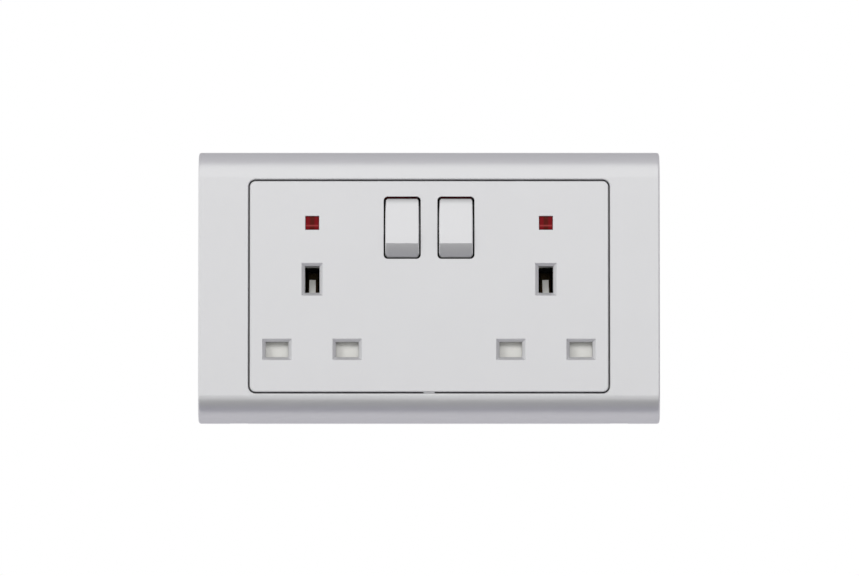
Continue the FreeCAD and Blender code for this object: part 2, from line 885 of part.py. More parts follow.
def pin_contact(x):
    """A live or neutral contact, its leaves above and below the pin."""
    points = [(y, pin_z + s) for y, s in clip(contact_mouth_y, contact_base_y)]
    return prism_x(points, x - contact_width / 2, x + contact_width / 2)


def sheet(x, z, y):
    """A flat piece of contact brass lying in the plane of the plate, its front at depth y."""
    return block(tuple(sorted(x)), (y, y + brass), tuple(sorted(z)))


def live_link_left():
    """From the left switch to the live contact of the left outlet."""
    x = -outlet_x + pin_spread
    side = around(x, contact_width / 2)
    top = around(link_top_z, link_width / 2)
    return fuse_all([
        pin_contact(x),
        sheet(side, (pin_z, top[1]), contact_base_y),
        sheet((side[0], -rocker_x + fixed_contact_radius + link_past), top, contact_base_y),
    ])


def live_link_right():
    """From the right switch round the earth contact to the live contact of the right outlet."""
    x = outlet_x + pin_spread
    side = around(x, contact_width / 2)
    level = around(link_side_z, link_width / 2)
    rise = around(link_side_x, link_width / 2)
    top = around(link_top_z, link_width / 2)
    return fuse_all([
        pin_contact(x),
        sheet(side, (pin_z, level[1]), contact_base_y),
        sheet((rise[0], side[1]), level, contact_base_y),
        sheet(rise, (level[0], top[1]), contact_base_y),
        sheet((rocker_x - fixed_contact_radius - link_past, rise[1]), top, contact_base_y),
    ])


def live_bar():
    """From the live terminal up to both switches, with a fulcrum tab and two ears for each lever."""
    x = terminal_places()[2]
    top = rocker_z + brass / 2
    level = (top - live_bar_height, top)
    parts = [
        sheet(around(x, bar_width / 2), (terminal_top, top), live_bar_y),
        sheet((-rocker_x - live_bar_height / 2, x + bar_width / 2), level, live_bar_y),
    ]
    edge = lever_pivot_y + fulcrum_gap
    ear_x = lever_width / 2 + ear_gap
    for side in (-1, 1):
        middle = side * rocker_x
        thick = (top - brass, top)
        parts.append(block(around(middle, ear_x + ear_width), (edge, live_bar_y + brass), thick))
        for ear in (-1, 1):
            parts.append(
                block(
                    around(middle + ear * (ear_x + ear_width / 2), ear_width / 2),
                    (lever_pivot_y - ear_reach, edge),
                    thick,
                )
            )
    return fuse_all(parts)


def neutral_bar():
    """From the neutral terminal to the neutral contact of each outlet."""
    ends = (-outlet_x - pin_spread, outlet_x - pin_spread)
    thick = around(neutral_bar_z, brass / 2)
    back = neutral_bar_front + neutral_bar_width
    parts = [
        block((ends[0] - contact_width / 2, ends[1] + contact_width / 2), (neutral_bar_front, back), thick)
    ]
    for x in ends:
        side = around(x, contact_width / 2)
        parts.append(pin_contact(x))
        parts.append(sheet(side, (pin_z, thick[1]), contact_base_y))
        parts.append(block(side, (back, contact_base_y + brass), thick))
    drop = around(terminal_places()[0], bar_width / 2)
    parts.append(
        block(drop, (terminal_front - brass, terminal_front), (terminal_bottom, thick[1]))
    )
    return fuse_all(parts)


def earth_bar():
    """From the earth terminal to the earth contact of each outlet, leaves beside the pin."""
    parts = [
        sheet((-outlet_x, outlet_x), around(earth_z, bar_width / 2), earth_base_y),
        sheet(around(terminal_places()[1], bar_width / 2), (terminal_top, earth_z), earth_base_y),
    ]
    for side in (-1, 1):
        points = [(side * outlet_x - s, y) for y, s in clip(earth_mouth_y, earth_base_y)]
        rise = around(earth_z, earth_contact_width / 2)
        parts.append(prism_z(points, rise[0], rise[1]))
    return fuse_all(parts)


def terminal(x):
    """A brass block with a blind bore for the wire and a tapped hole for the clamp screw."""
    body = block(
        around(x, terminal_width / 2),
        (terminal_front, back_wall_y),
        (terminal_bottom, terminal_top),
    )
    end = terminal_bottom + wire_bore_length
    bore = rod((x, wire_bore_y, terminal_bottom), (x, wire_bore_y, end), wire_bore_radius)
    tapped = rod((x, wire_bore_y, terminal_z), (x, back_wall_y, terminal_z), clamp_radius + clamp_play)
    return cut_all(body, [bore, tapped])


def driver_cut(x, z, end, width):
    """The slot across the end of a screw at depth y."""
    return block(around(x, width), (end - driver_depth, end), around(z, driver_slot / 2))


def terminal_screws():
    """The three headless clamp screws, backed off to leave the wire bores clear."""
    tip = wire_bore_y + wire_bore_radius + clamp_tip_gap
    end = back_wall_y + clamp_proud
    return [
        rod((x, tip, terminal_z), (x, end, terminal_z), clamp_radius).cut(
            driver_cut(x, terminal_z, end, clamp_radius)
        )
        for x in terminal_places()
    ]


def housing_screws():
    """The two screws through the rim of the housing into the bosses of the front plate."""
    screws = []
    for x, z in screw_places():
        shank = rod((x, guide_back - screw_length, z), (x, 0, z), screw_radius)
        head = rod((x, 0, z), (x, screw_head_height, z), screw_head_radius)
        body = fuse_all([shank, head])
        screws.append(body.cut(driver_cut(x, z, screw_head_height, screw_head_radius)))
    return screws


def neon_lens(x):
    """The window: a square button from behind, with a flange inside the face."""
    half = lens_side / 2 - lens_play
    wide = lens_flange_side / 2
    button = block(around(x, half), (front + lens_sink, face_back), around(lens_z, half))
    flange = block(around(x, wide), (face_back, face_back + lens_flange), around(lens_z, wide))
    return fuse_all([button, flange])


def neon_lamp(x, link_point):
    """The glass of the lamp with its two leads, one down to the resistor and one to the link."""
    foot = lens_z - lamp_half_length
    shoulder = lens_z + lamp_half_length - lamp_bevel
    glass = rod((x, lamp_y, foot), (x, lamp_y, shoulder), lamp_radius)
    crown = Part.makeCone(lamp_radius, lamp_radius - lamp_bevel, lamp_bevel, V(x, lamp_y, shoulder))
    joint = (foot + resistor_z + resistor_half_length) / 2
    lead = wire_path([(x, lamp_y, joint), (x, lamp_y, foot + lead_radius)], lead_radius)
    start = (x + lamp_radius / 2, lamp_y, foot + lead_radius)
    knee = (x + lamp_radius / 2, lamp_y, foot - 2 * lead_radius)
    near = (link_point[0], lever_pivot_y, link_point[2])
    return fuse_all([glass, crown, lead, wire_path([start, knee, near, link_point], lead_radius)])


def neon_resistor(x, bar_x):
    """The resistor with a lead up to the lamp and one down to the neutral bar."""
    top = resistor_z + resistor_half_length
    foot = resistor_z - resistor_half_length
    joint = (lens_z - lamp_half_length + top) / 2
    body = rod((x, lamp_y, foot), (x, lamp_y, top), resistor_radius)
    upper = wire_path([(x, lamp_y, top - lead_radius), (x, lamp_y, joint)], lead_radius)
    middle = neutral_bar_front + neutral_bar_width / 2
    lower = wire_path(
        [
            (x, lamp_y, foot + lead_radius),
            (x, lamp_y, foot - 2 * lead_radius),
            (bar_x, middle, foot - 4 * lead_radius),
            (bar_x, middle, neutral_bar_z + brass / 2),
        ],
        lead_radius,
    )
    return fuse_all([body, upper, lower])


def shutter(x):
    """One moulding: a blade over the two side slots, and an arm up to the ramp in the earth slot."""
    depth = (shutter_front, shutter_back)
    plate = block(around(x, blade_half), depth, (blade_bottom, blade_top))
    notch = shutter_spring_radius + notch_room
    plate = plate.cut(block(around(x, notch), depth, (blade_bottom, bridge_bottom)))
    ramp_top = earth_z + ramp_high
    low = earth_z - ramp_low
    foot = low - ramp_foot
    arm = block(around(x, arm_width / 2), depth, (blade_top - blade_join, foot + blade_join))
    ramp = prism_x(
        [
            (shutter_front, foot),
            (shutter_front, low),
            (shutter_front + ramp_depth - ramp_flat, ramp_top),
            (shutter_front + ramp_depth, ramp_top),
            (shutter_front + ramp_depth, ramp_top - ramp_cap),
            (shutter_back, foot),
        ],
        x - ramp_width / 2,
        x + ramp_width / 2,
    )
    peg = block(
        around(x, peg_half), around(spring_y, peg_half), (bridge_bottom - peg_length, bridge_bottom)
    )
    return fuse_all([plate, arm, ramp, peg])


def shutter_guide(x):
    """The tray behind a shutter: pin holes, a rail at each side, and a foot for the spring."""
    half = rail_x + guide_rail
    top = earth_z + earth_slot_height / 2 + pad_wall
    plate = block(around(x, half), (guide_front, guide_back), (guide_bottom, top))
    depth = (pad_back, guide_front)
    rails = [
        block(around(x + side * (rail_x + guide_rail / 2), guide_rail / 2), depth, (guide_bottom, top))
        for side in (-1, 1)
    ]
    foot = block(around(x, half), depth, (guide_bottom, spring_foot))
    peg = block(
        around(x, peg_half), around(spring_y, peg_half), (spring_foot, spring_foot + peg_length)
    )
    body = fuse_all([plate, foot, peg] + rails)
    holes = []
    for pin in (-1, 1):
        holes.append(
            block(
                around(x + pin * pin_spread, pin_slot_width / 2),
                (guide_front, guide_back),
                around(pin_z, pin_slot_height / 2),
            )
        )
    low = earth_z - ramp_low - ramp_foot - shutter_travel - ramp_play
    high = earth_z + earth_slot_height / 2
    holes.append(
        block(around(x, earth_slot_width / 2), (guide_front, guide_back), (low, high))
    )
    return cut_all(body, holes)


def shutter_spring(x):
    """The spring that lifts the shutter back over the side slots."""
    foot = (x, spring_y, spring_foot)
    return coil(foot, (x, spring_y, bridge_bottom), shutter_spring_radius, shutter_coils)


def save(name, solids):
    """Write one piece, or a group of like pieces, to its file."""
    for solid in solids:
        if not solid.isValid() or len(solid.Solids) != 1:
            print("check", name, solid.isValid(), len(solid.Solids))
    shape = solids[0] if len(solids) == 1 else Part.makeCompound(solids)
    shape.exportStep("parts/" + name + ".step")


def main():
    """Build every piece and write it out."""
    os.makedirs("parts", exist_ok=True)
    save("cover_frame", [cover_frame()])
    save("front_plate", [front_plate()])
    save("rear_housing", [rear_housing()])
    link_left = (-outlet_x + pin_spread, contact_base_y, link_side_z)
    link_right = (outlet_x + lamp_radius / 2, contact_base_y, link_side_z)
    bar_left = -outlet_x - pin_spread / 2
    bar_right = outlet_x - pin_spread + contact_width / 4
    for side, word, link_point, bar_x in (
        (-1, "left", link_left, bar_left),
        (1, "right", link_right, bar_right),
    ):
        x = side * rocker_x
        save("rocker_" + word, [rocker(x)])
        save("plunger_" + word, [plunger(x)])
        save("plunger_spring_" + word, [plunger_spring(x)])
        save("contact_lever_" + word, [contact_lever(x)])
        save("moving_contact_" + word, [moving_contact(x)])
        save("fixed_contact_" + word, [fixed_contact(x)])
        x = side * outlet_x
        save("neon_lens_" + word, [neon_lens(x)])
        save("neon_lamp_" + word, [neon_lamp(x, link_point)])
        save("neon_resistor_" + word, [neon_resistor(x, bar_x)])
        save("shutter_" + word, [shutter(x)])
        save("shutter_guide_" + word, [shutter_guide(x)])
        save("shutter_spring_" + word, [shutter_spring(x)])
    save("live_link_left", [live_link_left()])
    save("live_link_right", [live_link_right()])
    save("live_bar", [live_bar()])
    save("neutral_bar", [neutral_bar()])
    save("earth_bar", [earth_bar()])
    for x, word in zip(terminal_places(), ("neutral", "earth", "live")):
        save(word + "_terminal", [terminal(x)])
    save("terminal_screws", terminal_screws())
    save("housing_screws", housing_screws())


main()
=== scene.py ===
# %% [markdown]
# A twin switched wall socket
#
# The real object is a plate that clips over a wall box: a satin silver frame, a panel with six pin
# slots, two rockers and two small red windows, and a pale moulded box behind it that holds brass and
# springs. The packed CAD model gives every solid at its true size. This script dresses it and makes
# again the few pieces that a solid model draws too plainly, so it begins by loading that model.

# %% Load the frame
import json

import bpy
import numpy as np
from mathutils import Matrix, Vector


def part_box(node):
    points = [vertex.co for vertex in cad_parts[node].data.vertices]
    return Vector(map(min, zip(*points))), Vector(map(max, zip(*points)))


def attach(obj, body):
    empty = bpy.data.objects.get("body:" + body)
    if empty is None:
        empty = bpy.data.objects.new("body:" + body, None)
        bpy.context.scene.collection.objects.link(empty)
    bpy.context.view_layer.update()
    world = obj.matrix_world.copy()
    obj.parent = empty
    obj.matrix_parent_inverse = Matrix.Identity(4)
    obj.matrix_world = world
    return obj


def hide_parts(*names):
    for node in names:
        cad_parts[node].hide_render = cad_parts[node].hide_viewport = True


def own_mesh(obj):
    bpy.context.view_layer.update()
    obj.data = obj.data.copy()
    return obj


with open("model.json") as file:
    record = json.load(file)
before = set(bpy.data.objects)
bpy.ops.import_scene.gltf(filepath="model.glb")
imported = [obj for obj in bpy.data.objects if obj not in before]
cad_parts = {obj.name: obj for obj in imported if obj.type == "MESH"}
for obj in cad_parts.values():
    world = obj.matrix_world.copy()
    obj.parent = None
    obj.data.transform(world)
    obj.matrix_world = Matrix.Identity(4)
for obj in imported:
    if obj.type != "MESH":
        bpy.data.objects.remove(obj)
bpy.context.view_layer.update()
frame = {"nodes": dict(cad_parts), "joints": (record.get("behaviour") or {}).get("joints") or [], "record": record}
nodes = frame["nodes"]

# %% [markdown]
# The camera
#
# A product photograph like this is taken with a long lens from a few metres away, which keeps the
# plate's edges parallel. The lens stands a little below the middle of the plate and looks slightly up.
# The plate's width in the picture gives the focal length once the distance is chosen.

# %% Place the camera
MM = 0.001
IMAGE_WIDTH = 859
PLATE_WIDTH_IN_IMAGE = 461.9
SENSOR_WIDTH = 36.0
AIM_X = 0.14 * MM
AIM_Z = -0.54 * MM
STAND = Vector((0.0, -2.6, -0.173))

frame_low, frame_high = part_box("cover_frame")
front_y = frame_low.y
sight = Vector((AIM_X, front_y, AIM_Z)) - STAND

camera_data = bpy.data.cameras.new("camera")
camera_data.sensor_width = SENSOR_WIDTH
pixels_per_metre = PLATE_WIDTH_IN_IMAGE / (frame_high.x - frame_low.x)
camera_data.lens = sight.length * pixels_per_metre * SENSOR_WIDTH / IMAGE_WIDTH
camera = bpy.data.objects.new("camera", camera_data)
bpy.context.scene.collection.objects.link(camera)
camera.location = STAND
camera.rotation_euler = sight.to_track_quat("-Z", "Y").to_euler()
bpy.context.scene.camera = camera
bpy.context.scene.view_settings.view_transform = "Standard"
print("focal length, mm:", round(camera_data.lens, 1))

# %% [markdown]
# Shader maths as Python expressions
#
# Nodes can be joined by hand, one link at a time, but a formula is easier to read. The class below
# wraps one output socket and answers +, -, * and /, on either side of a number, by adding the Math
# node that does it. Colours and vectors have their own nodes, because a Math node turns them grey.

# %% A socket that understands arithmetic
class Wire:
    """One output socket of a node tree, with the arithmetic that this script uses."""

    def __init__(self, tree, socket):
        self.tree = tree
        self.socket = socket

    def math(self, operation, *values):
        """The result of one Math node on one or two values."""
        return self.tree.node("ShaderNodeMath", {"operation": operation}, dict(enumerate(values)))

    def __add__(self, other):
        return self.math("ADD", self, other)

    def __sub__(self, other):
        return self.math("SUBTRACT", self, other)

    def __rsub__(self, other):
        return self.math("SUBTRACT", other, self)

    def __mul__(self, other):
        return self.math("MULTIPLY", self, other)

    def __truediv__(self, other):
        return self.math("DIVIDE", self, other)

    def __rtruediv__(self, other):
        return self.math("DIVIDE", other, self)

    __radd__ = __add__
    __rmul__ = __mul__

    def size(self):
        """The value without its sign."""
        return self.math("ABSOLUTE", self)

    def most(self, other):
        """The larger of two values."""
        return self.math("MAXIMUM", self, other)

    def rise(self, low, high):
        """From 0 below low to 1 above high, with soft ends: 3 t squared less 2 t cubed."""
        settings = {"interpolation_type": "SMOOTHSTEP", "clamp": True}
        return self.tree.node("ShaderNodeMapRange", settings, {0: self, 1: low, 2: high})

    def inside(self, middle, half, soft):
        """1 within half of a middle, 0 outside, with a soft border."""
        return 1 - (self - middle).size().rise(half - soft, half + soft)


print("reflected operators:", [name for name in vars(Wire) if name.startswith("__r")])

# %% [markdown]
# One way to add a node
#
# Every other node is made by one method, so that a reader always finds the same three things in the
# same order: what kind of node it is, its settings, and what goes into its sockets. Settings come
# first, because some of them decide which sockets the node has.

# %% A node tree with one way to add a node
class Tree:
    """The nodes of a material or of the world."""

    def __init__(self, owner):
        owner.use_nodes = True
        self.nodes = owner.node_tree.nodes
        self.links = owner.node_tree.links

    def node(self, kind, settings=(), sockets=(), output=0):
        """Add a node: its settings, then the values or links of its sockets, by place or by name."""
        made = self.nodes.new(kind)
        for name, value in dict(settings).items():
            setattr(made, name, value)
        for place, value in dict(sockets).items():
            if isinstance(value, Wire):
                self.links.new(value.socket, made.inputs[place])
            else:
                made.inputs[place].default_value = value
        return Wire(self, made.outputs[output])

    def ray(self, kind):
        """1 where the ray that asks is of this kind, such as a camera ray."""
        return self.node("ShaderNodeLightPath", output="Is %s Ray" % kind)


print("tree ready")

# %% [markdown]
# What all finishes share
#
# Every finish of this object varies its colour, its roughness or its relief a little from point to
# point, by noise or by masks on the place. The steps for that are written once, in a class for
# materials. Positions are the piece's own, so a pattern moves with a piece that moves.

# %% A material built from such sockets
class Finish(Tree):
    """A material with one shader. Constants are set on its sockets, and formulas are linked to them."""

    def __init__(self, name, **constants):
        self.material = bpy.data.materials.new(name)
        super().__init__(self.material)
        self.shader = self.nodes["Principled BSDF"]
        for socket, value in constants.items():
            self.shader.inputs[socket.replace("_", " ")].default_value = value

    def place(self):
        """The point being shaded, in the piece's own coordinates, in metres."""
        return self.node("ShaderNodeTexCoord", output="Object")

    def along(self, axis):
        """One coordinate of that point."""
        return self.node("ShaderNodeSeparateXYZ", sockets={0: self.place()}, output=axis)

    def noise(self, grain, detail=2.0, stretch=(1.0, 1.0, 1.0)):
        """Noise from 0 to 1 whose patches are about one grain wide, in metres."""
        scaled = self.node("ShaderNodeVectorMath", {"operation": "MULTIPLY"}, {0: self.place(), 1: stretch})
        sockets = {"Vector": scaled, "Scale": 1 / grain, "Detail": detail}
        return self.node("ShaderNodeTexNoise", sockets=sockets)

    def blend(self, share, first, second):
        """A colour between two others, each a wire or three numbers."""
        first, second = (c if isinstance(c, Wire) else (*c, 1.0) for c in (first, second))
        return self.node("ShaderNodeMix", {"data_type": "RGBA"}, {0: share, 6: first, 7: second}, output=2)

    def drive(self, socket, wire):
        """Link a formula to a socket of the shader."""
        self.links.new(wire.socket, self.shader.inputs[socket])

    def tint(self, colour):
        """Link a colour to the shader and keep its wire, so that a mask can be laid over it later."""
        self.colour = colour
        self.drive("Base Color", colour)

    def relief(self, height, depth, soft_edge):
        """Link a bump of that depth in metres, over edges that are rounded by soft_edge."""
        rounded = self.node("ShaderNodeBevel", {"samples": 4}, {"Radius": soft_edge})
        sockets = {"Height": height, "Distance": depth, "Strength": 1.0, "Normal": rounded}
        self.drive("Normal", self.node("ShaderNodeBump", sockets=sockets))


print("finishes can be mixed")

# %% [markdown]
# Satin silver paint
#
# The frame, panel and rockers are moulded plastic under a silver lacquer. Fine metal flakes give it a
# soft sheen and a grain that is only just visible. Two thirds metallic with a mid roughness keeps it
# pale from every side and still lets the curved bands pick up the room. Grain that is smaller than a
# pixel still matters, because it breaks up the highlights.

# %% Mix the silver paint
SILVER = (0.75, 0.75, 0.76)
SILVER_DARK = (0.70, 0.70, 0.712)
METAL_SHARE = 0.66
FLAKE_SIZE = 0.25 * MM
FLAKE_DEPTH = 0.004 * MM
FLAKE_SHARE = 0.55
CLOUD_SIZE = 18 * MM
CLOUD_SHARE = 0.45
SATIN = 0.33
SATIN_SPREAD = 0.08
PAINTED_EDGE = 0.22 * MM


def silver_paint(name, form=None):
    """Silver lacquer: fine flakes, slow clouding and soft edges.

    Where a form is given, it is a function of the paint that adds a height in metres.
    """
    paint = Finish(name, Metallic=METAL_SHARE)
    flakes = paint.noise(FLAKE_SIZE)
    clouds = paint.noise(CLOUD_SIZE, detail=3.0)
    paint.tint(paint.blend(flakes * FLAKE_SHARE + clouds * CLOUD_SHARE, SILVER_DARK, SILVER))
    paint.drive("Roughness", SATIN + flakes * SATIN_SPREAD)
    height = flakes if form is None else flakes + form(paint) / FLAKE_DEPTH
    paint.relief(height, FLAKE_DEPTH, soft_edge=PAINTED_EDGE)
    return paint


frame_paint = silver_paint("frame_paint")
print("paint nodes:", len(frame_paint.nodes))

# %% [markdown]
# Where the lacquer ends, and painted shade in the openings
#
# The lacquer is sprayed from the front. It covers the face and the bevels of the slots, but not the
# back of the flange, where the grey moulding shows. Down the walls of the slots and rocker openings,
# the same grey is painted shade. The bevels are painted a little darker, as painted shade. The panel's
# outer walls have the lacquer too. Masks on depth and place mix the tones.

# %% Paint the panel
# This grey is the unpainted moulding behind the flange, and painted shade down the walls of the openings.
MOULDING_GREY_AND_SHADE = (0.36, 0.36, 0.35)
GREY_AND_SHADE_FROM = front_y + 1.15 * MM
GREY_AND_SHADE_FADE = 0.15 * MM
# A darker tone that paints shade on the bevels of the slots.
BEVEL_SHADE = (0.57, 0.57, 0.58)
BEVEL_SHADE_FROM = 0.02 * MM
BEVEL_SHADE_TO = 0.3 * MM
BEVEL_SHADE_SHARE = 0.25
FLANGE_FRONT = -2.7 * MM
PANEL_HALF_WIDTH = 56.7 * MM
PANEL_HALF_HEIGHT = 33.425 * MM
WALL_INSET = 0.6 * MM
MASK_BORDER = 0.1 * MM

panel_paint = silver_paint("panel_paint")
across, depth, height = (panel_paint.along(axis) for axis in "XYZ")
within_walls = across.inside(0.0, PANEL_HALF_WIDTH - WALL_INSET, MASK_BORDER)
within_walls = within_walls * height.inside(0.0, PANEL_HALF_HEIGHT - WALL_INSET, MASK_BORDER)
behind = depth.rise(FLANGE_FRONT, FLANGE_FRONT + MASK_BORDER)
deep = depth.rise(GREY_AND_SHADE_FROM, GREY_AND_SHADE_FROM + GREY_AND_SHADE_FADE)
# Grey where the lacquer ends: bare moulding behind the flange, painted shade in the openings.
bare_or_shaded = deep * within_walls.most(behind)
# Painted shade on the bevels.
shaded_bevels = depth.rise(front_y + BEVEL_SHADE_FROM, front_y + BEVEL_SHADE_TO) * within_walls
lacquer_and_bevel_shade = panel_paint.blend(shaded_bevels * BEVEL_SHADE_SHARE, panel_paint.colour, BEVEL_SHADE)
panel_paint.tint(panel_paint.blend(bare_or_shaded, lacquer_and_bevel_shade, MOULDING_GREY_AND_SHADE))
print("lacquer ends at y, mm:", round(GREY_AND_SHADE_FROM / MM, 2))

# %% [markdown]
# The marked end of a rocker
#
# When a switch is on, its upper end comes forward and shows a red band. When it is off, only a red
# glint is left in the slit above it. The band is paint on the rocker's top end, so it belongs in the
# rocker's material: a mask on the height and depth of the point, which moves with the rocker. Where
# the rocker enters its opening, its sides are painted near black, as painted shade in the gap around
# it. The ridge across the rocker isn't sharp either, so the light meets it rounded, by a wide and
# shallow bump.

# %% Paint the rockers
RED_MARK = (0.42, 0.012, 0.018)
# Near black, painted as the shade in the gap round each rocker.
ROCKER_GAP_SHADE = (0.09, 0.09, 0.09)
MARK_HEIGHT = 1.15 * MM
MARK_SET_BACK = 0.75 * MM
GAP_SHADE_FROM = 0.1 * MM
GAP_SHADE_FULL = 0.5 * MM
RIDGE_RISE = 5.5 * MM
TAKEN_OFF = 0.62 * MM
ROUND_BELOW = 4.2 * MM
ROUND_ABOVE = 5.2 * MM

rocker_low, rocker_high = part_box("rocker_left")
ridge_z = rocker_low.z + RIDGE_RISE


def rounded_ridge(paint):
    """What is taken off the ridge: most at the ridge, and on both sides it falls to nothing with the
    square of the way that is left.
    """
    height = paint.along("Z")
    below = 1 - ((ridge_z - height) / ROUND_BELOW).most(0.0)
    above = 1 - ((height - ridge_z) / ROUND_ABOVE).most(0.0)
    near = (below * above).most(0.0)
    return near * near * -TAKEN_OFF


rocker_paint = silver_paint("rocker_paint", rounded_ridge)
depth, height = rocker_paint.along("Y"), rocker_paint.along("Z")
mark_bottom = rocker_high.z - MARK_HEIGHT
mark_front = front_y + MARK_SET_BACK
high_up = height.rise(mark_bottom - MASK_BORDER, mark_bottom + MASK_BORDER)
set_back = depth.rise(mark_front - MASK_BORDER, mark_front + MASK_BORDER)
# Below its face, the rocker's sides are painted near black as the shade in its gap.
in_gap_shade = depth.rise(front_y + GAP_SHADE_FROM, front_y + GAP_SHADE_FULL)
lacquer_and_gap_shade = rocker_paint.blend(in_gap_shade, rocker_paint.colour, ROCKER_GAP_SHADE)
rocker_paint.tint(rocker_paint.blend(high_up * set_back, lacquer_and_gap_shade, RED_MARK))
print("mark starts at z, mm:", round(mark_bottom / MM, 2))

# %% [markdown]
# Moulded plastics
#
# The box behind the plate, the shutters and the plungers are plain mouldings. A moulding has a fine
# spark-eroded texture and slow changes of tone where the melt flowed. Their colours differ, so one
# function makes all of them.

# %% Mould the plain plastics
BOX_TONES = (0.74, 0.73, 0.69), (0.69, 0.68, 0.64)
SHUTTER_TONES = (0.89, 0.885, 0.85), (0.85, 0.845, 0.81)
PLUNGER_TONES = (0.82, 0.80, 0.74), (0.78, 0.76, 0.70)
FLOW_SIZE = 12 * MM
TEXTURE_DEPTH = 0.006 * MM
TEXTURE_SPREAD = 0.12
MOULDED_EDGE = 0.15 * MM


def moulding(name, tones, grain, roughness):
    """Plastic whose colour drifts between a light and a dark tone, with a fine texture."""
    light, dark = tones
    plastic = Finish(name)
    flow = plastic.noise(FLOW_SIZE, detail=4.0)
    texture = plastic.noise(grain, detail=3.0)
    plastic.tint(plastic.blend(flow, dark, light))
    plastic.drive("Roughness", roughness + texture * TEXTURE_SPREAD)
    plastic.relief(texture, TEXTURE_DEPTH, soft_edge=MOULDED_EDGE)
    return plastic


housing_plastic = moulding("housing_plastic", BOX_TONES, grain=0.3 * MM, roughness=0.45)
shutter_plastic = moulding("shutter_plastic", SHUTTER_TONES, grain=0.2 * MM, roughness=0.32)
plunger_plastic = moulding("plunger_plastic", PLUNGER_TONES, grain=0.15 * MM, roughness=0.3)
print("plastics:", housing_plastic.material.name, shutter_plastic.material.name)

# %% [markdown]
# Painted shade inside the box
#
# Past the contacts, the photograph shows the bottom of the earth slot as nearly black. The inner walls
# of the box are painted near black, as painted shade. The box stays pale outside, so a mask finds its
# inner walls by place. It begins half a wall's thickness inside the outer faces, and leaves out the two
# bays in the upper corners, whose walls are seen from behind.

# %% Paint shade inside the box
# Near black, painted as the shade inside the box.
INSIDE_SHADE = (0.022, 0.022, 0.021)
RIM_LEDGE = Vector((0.6, 0.0, 1.7)) * MM
HALF_THICKNESS = Vector((0.9, 1.0, 0.9)) * MM
BAY = Vector((7.5, 0.0, 5.6)) * MM

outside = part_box("rear_housing")[1] - RIM_LEDGE
wall = outside - HALF_THICKNESS
bay = wall - BAY
across, depth, height = (housing_plastic.along(axis) for axis in "XYZ")
within = across.inside(0.0, wall.x, MASK_BORDER) * height.inside(0.0, wall.z, MASK_BORDER)
before_floor = 1 - depth.rise(wall.y - MASK_BORDER, wall.y)
in_bay = across.size().rise(bay.x, bay.x + MASK_BORDER) * height.rise(bay.z, bay.z + MASK_BORDER)
# Painted shade on the inner walls.
inner_shade = within * before_floor * (1 - in_bay)
housing_plastic.tint(housing_plastic.blend(inner_shade, housing_plastic.colour, INSIDE_SHADE))
print("inner walls end at, mm:", [round(c / MM, 2) for c in wall])

# %% [markdown]
# Metals
#
# Rolled brass strip carries the current. It has faint lines along its rolling direction and tarnishes
# in clouds. Silver contacts, spring wire and plated screws follow the same recipe with other colours,
# so a table holds a bright tone, a dull tone, a roughness and a rolling direction for each.

# %% Roll the metals
EVEN = (1.0, 1.0, 1.0)
ALONG_X = (0.06, 1.0, 1.0)
ALONG_Z = (1.0, 1.0, 0.06)
LINE_WIDTH = 0.12 * MM
LINE_DEPTH = 0.003 * MM
LINE_SHARE = 0.3
LINE_SPREAD = 0.14
TARNISH_SIZE = 4 * MM
TARNISH_SHARE = 0.7
ROLLED_EDGE = 0.1 * MM


def metal(name, bright, dull, roughness, stretch):
    """Metal between a bright and a dull tone: lines drawn out along one axis, and clouds of tarnish."""
    made = Finish(name, Metallic=1.0)
    lines = made.noise(LINE_WIDTH, stretch=stretch)
    tarnish = made.noise(TARNISH_SIZE, detail=3.0)
    made.tint(made.blend(tarnish * TARNISH_SHARE + lines * LINE_SHARE, dull, bright))
    made.drive("Roughness", roughness + lines * LINE_SPREAD)
    made.relief(lines, LINE_DEPTH, soft_edge=ROLLED_EDGE)
    return made


RECIPES = {
    "contact_brass": ((0.83, 0.62, 0.32), (0.60, 0.41, 0.19), 0.22, ALONG_Z),
    "terminal_brass": ((0.80, 0.60, 0.31), (0.62, 0.44, 0.21), 0.28, ALONG_X),
    "contact_silver": ((0.90, 0.89, 0.86), (0.70, 0.69, 0.66), 0.2, EVEN),
    "spring_steel": ((0.62, 0.62, 0.63), (0.42, 0.42, 0.43), 0.25, EVEN),
    "screw_steel": ((0.72, 0.71, 0.67), (0.56, 0.55, 0.50), 0.3, EVEN),
}
metals = {name: metal(name, *recipe) for name, recipe in RECIPES.items()}
print("metals:", sorted(metals))

# %% [markdown]
# Painted shade on the contacts
#
# Strip that sits open behind a pin slot is seen in deep shade. That is why the earth slot of the
# photograph looks nearly black, with a little copper colour low down, and that shade is painted onto
# the brass. The painted shade covers more with depth, and it turns from brown to black with height.
# Around the switches, the brass gets painted shade in the same way. The rest of the strip stays brass,
# so masks on place keep the painted shade to those two areas.

# %% Paint shade on the contacts
# Painted shade on the brass: black higher up, brown lower down.
SHADE_BLACK = (0.004, 0.003, 0.002)
SHADE_BROWN = (0.075, 0.047, 0.028)
SHADE_FROM_DEPTH = -1.0 * MM
SHADE_FULL_DEPTH = 6.0 * MM
BROWN_BELOW = -1.0 * MM
BLACK_ABOVE = 3.6 * MM
SHADE_SHARE = 0.96
PATCH_SHARE = 0.04
PATCH_SIZE = 1.2 * MM

EARTH_SLOT_Z = 2.2 * MM
SLOT_HALF_WIDTH = 3.6 * MM
SLOT_HALF_HEIGHT = 5.6 * MM
SLOT_BORDER = 1.2 * MM
SWITCH_HALF_WIDTH = 19.0 * MM
SWITCH_BORDER = 2.0 * MM
SWITCH_SHADE_FROM = 6.5 * MM
SWITCH_SHADE_FULL = 10.5 * MM


def middle_of(name):
    """The middle of a solid's box."""
    low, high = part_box(name)
    return (low + high) / 2


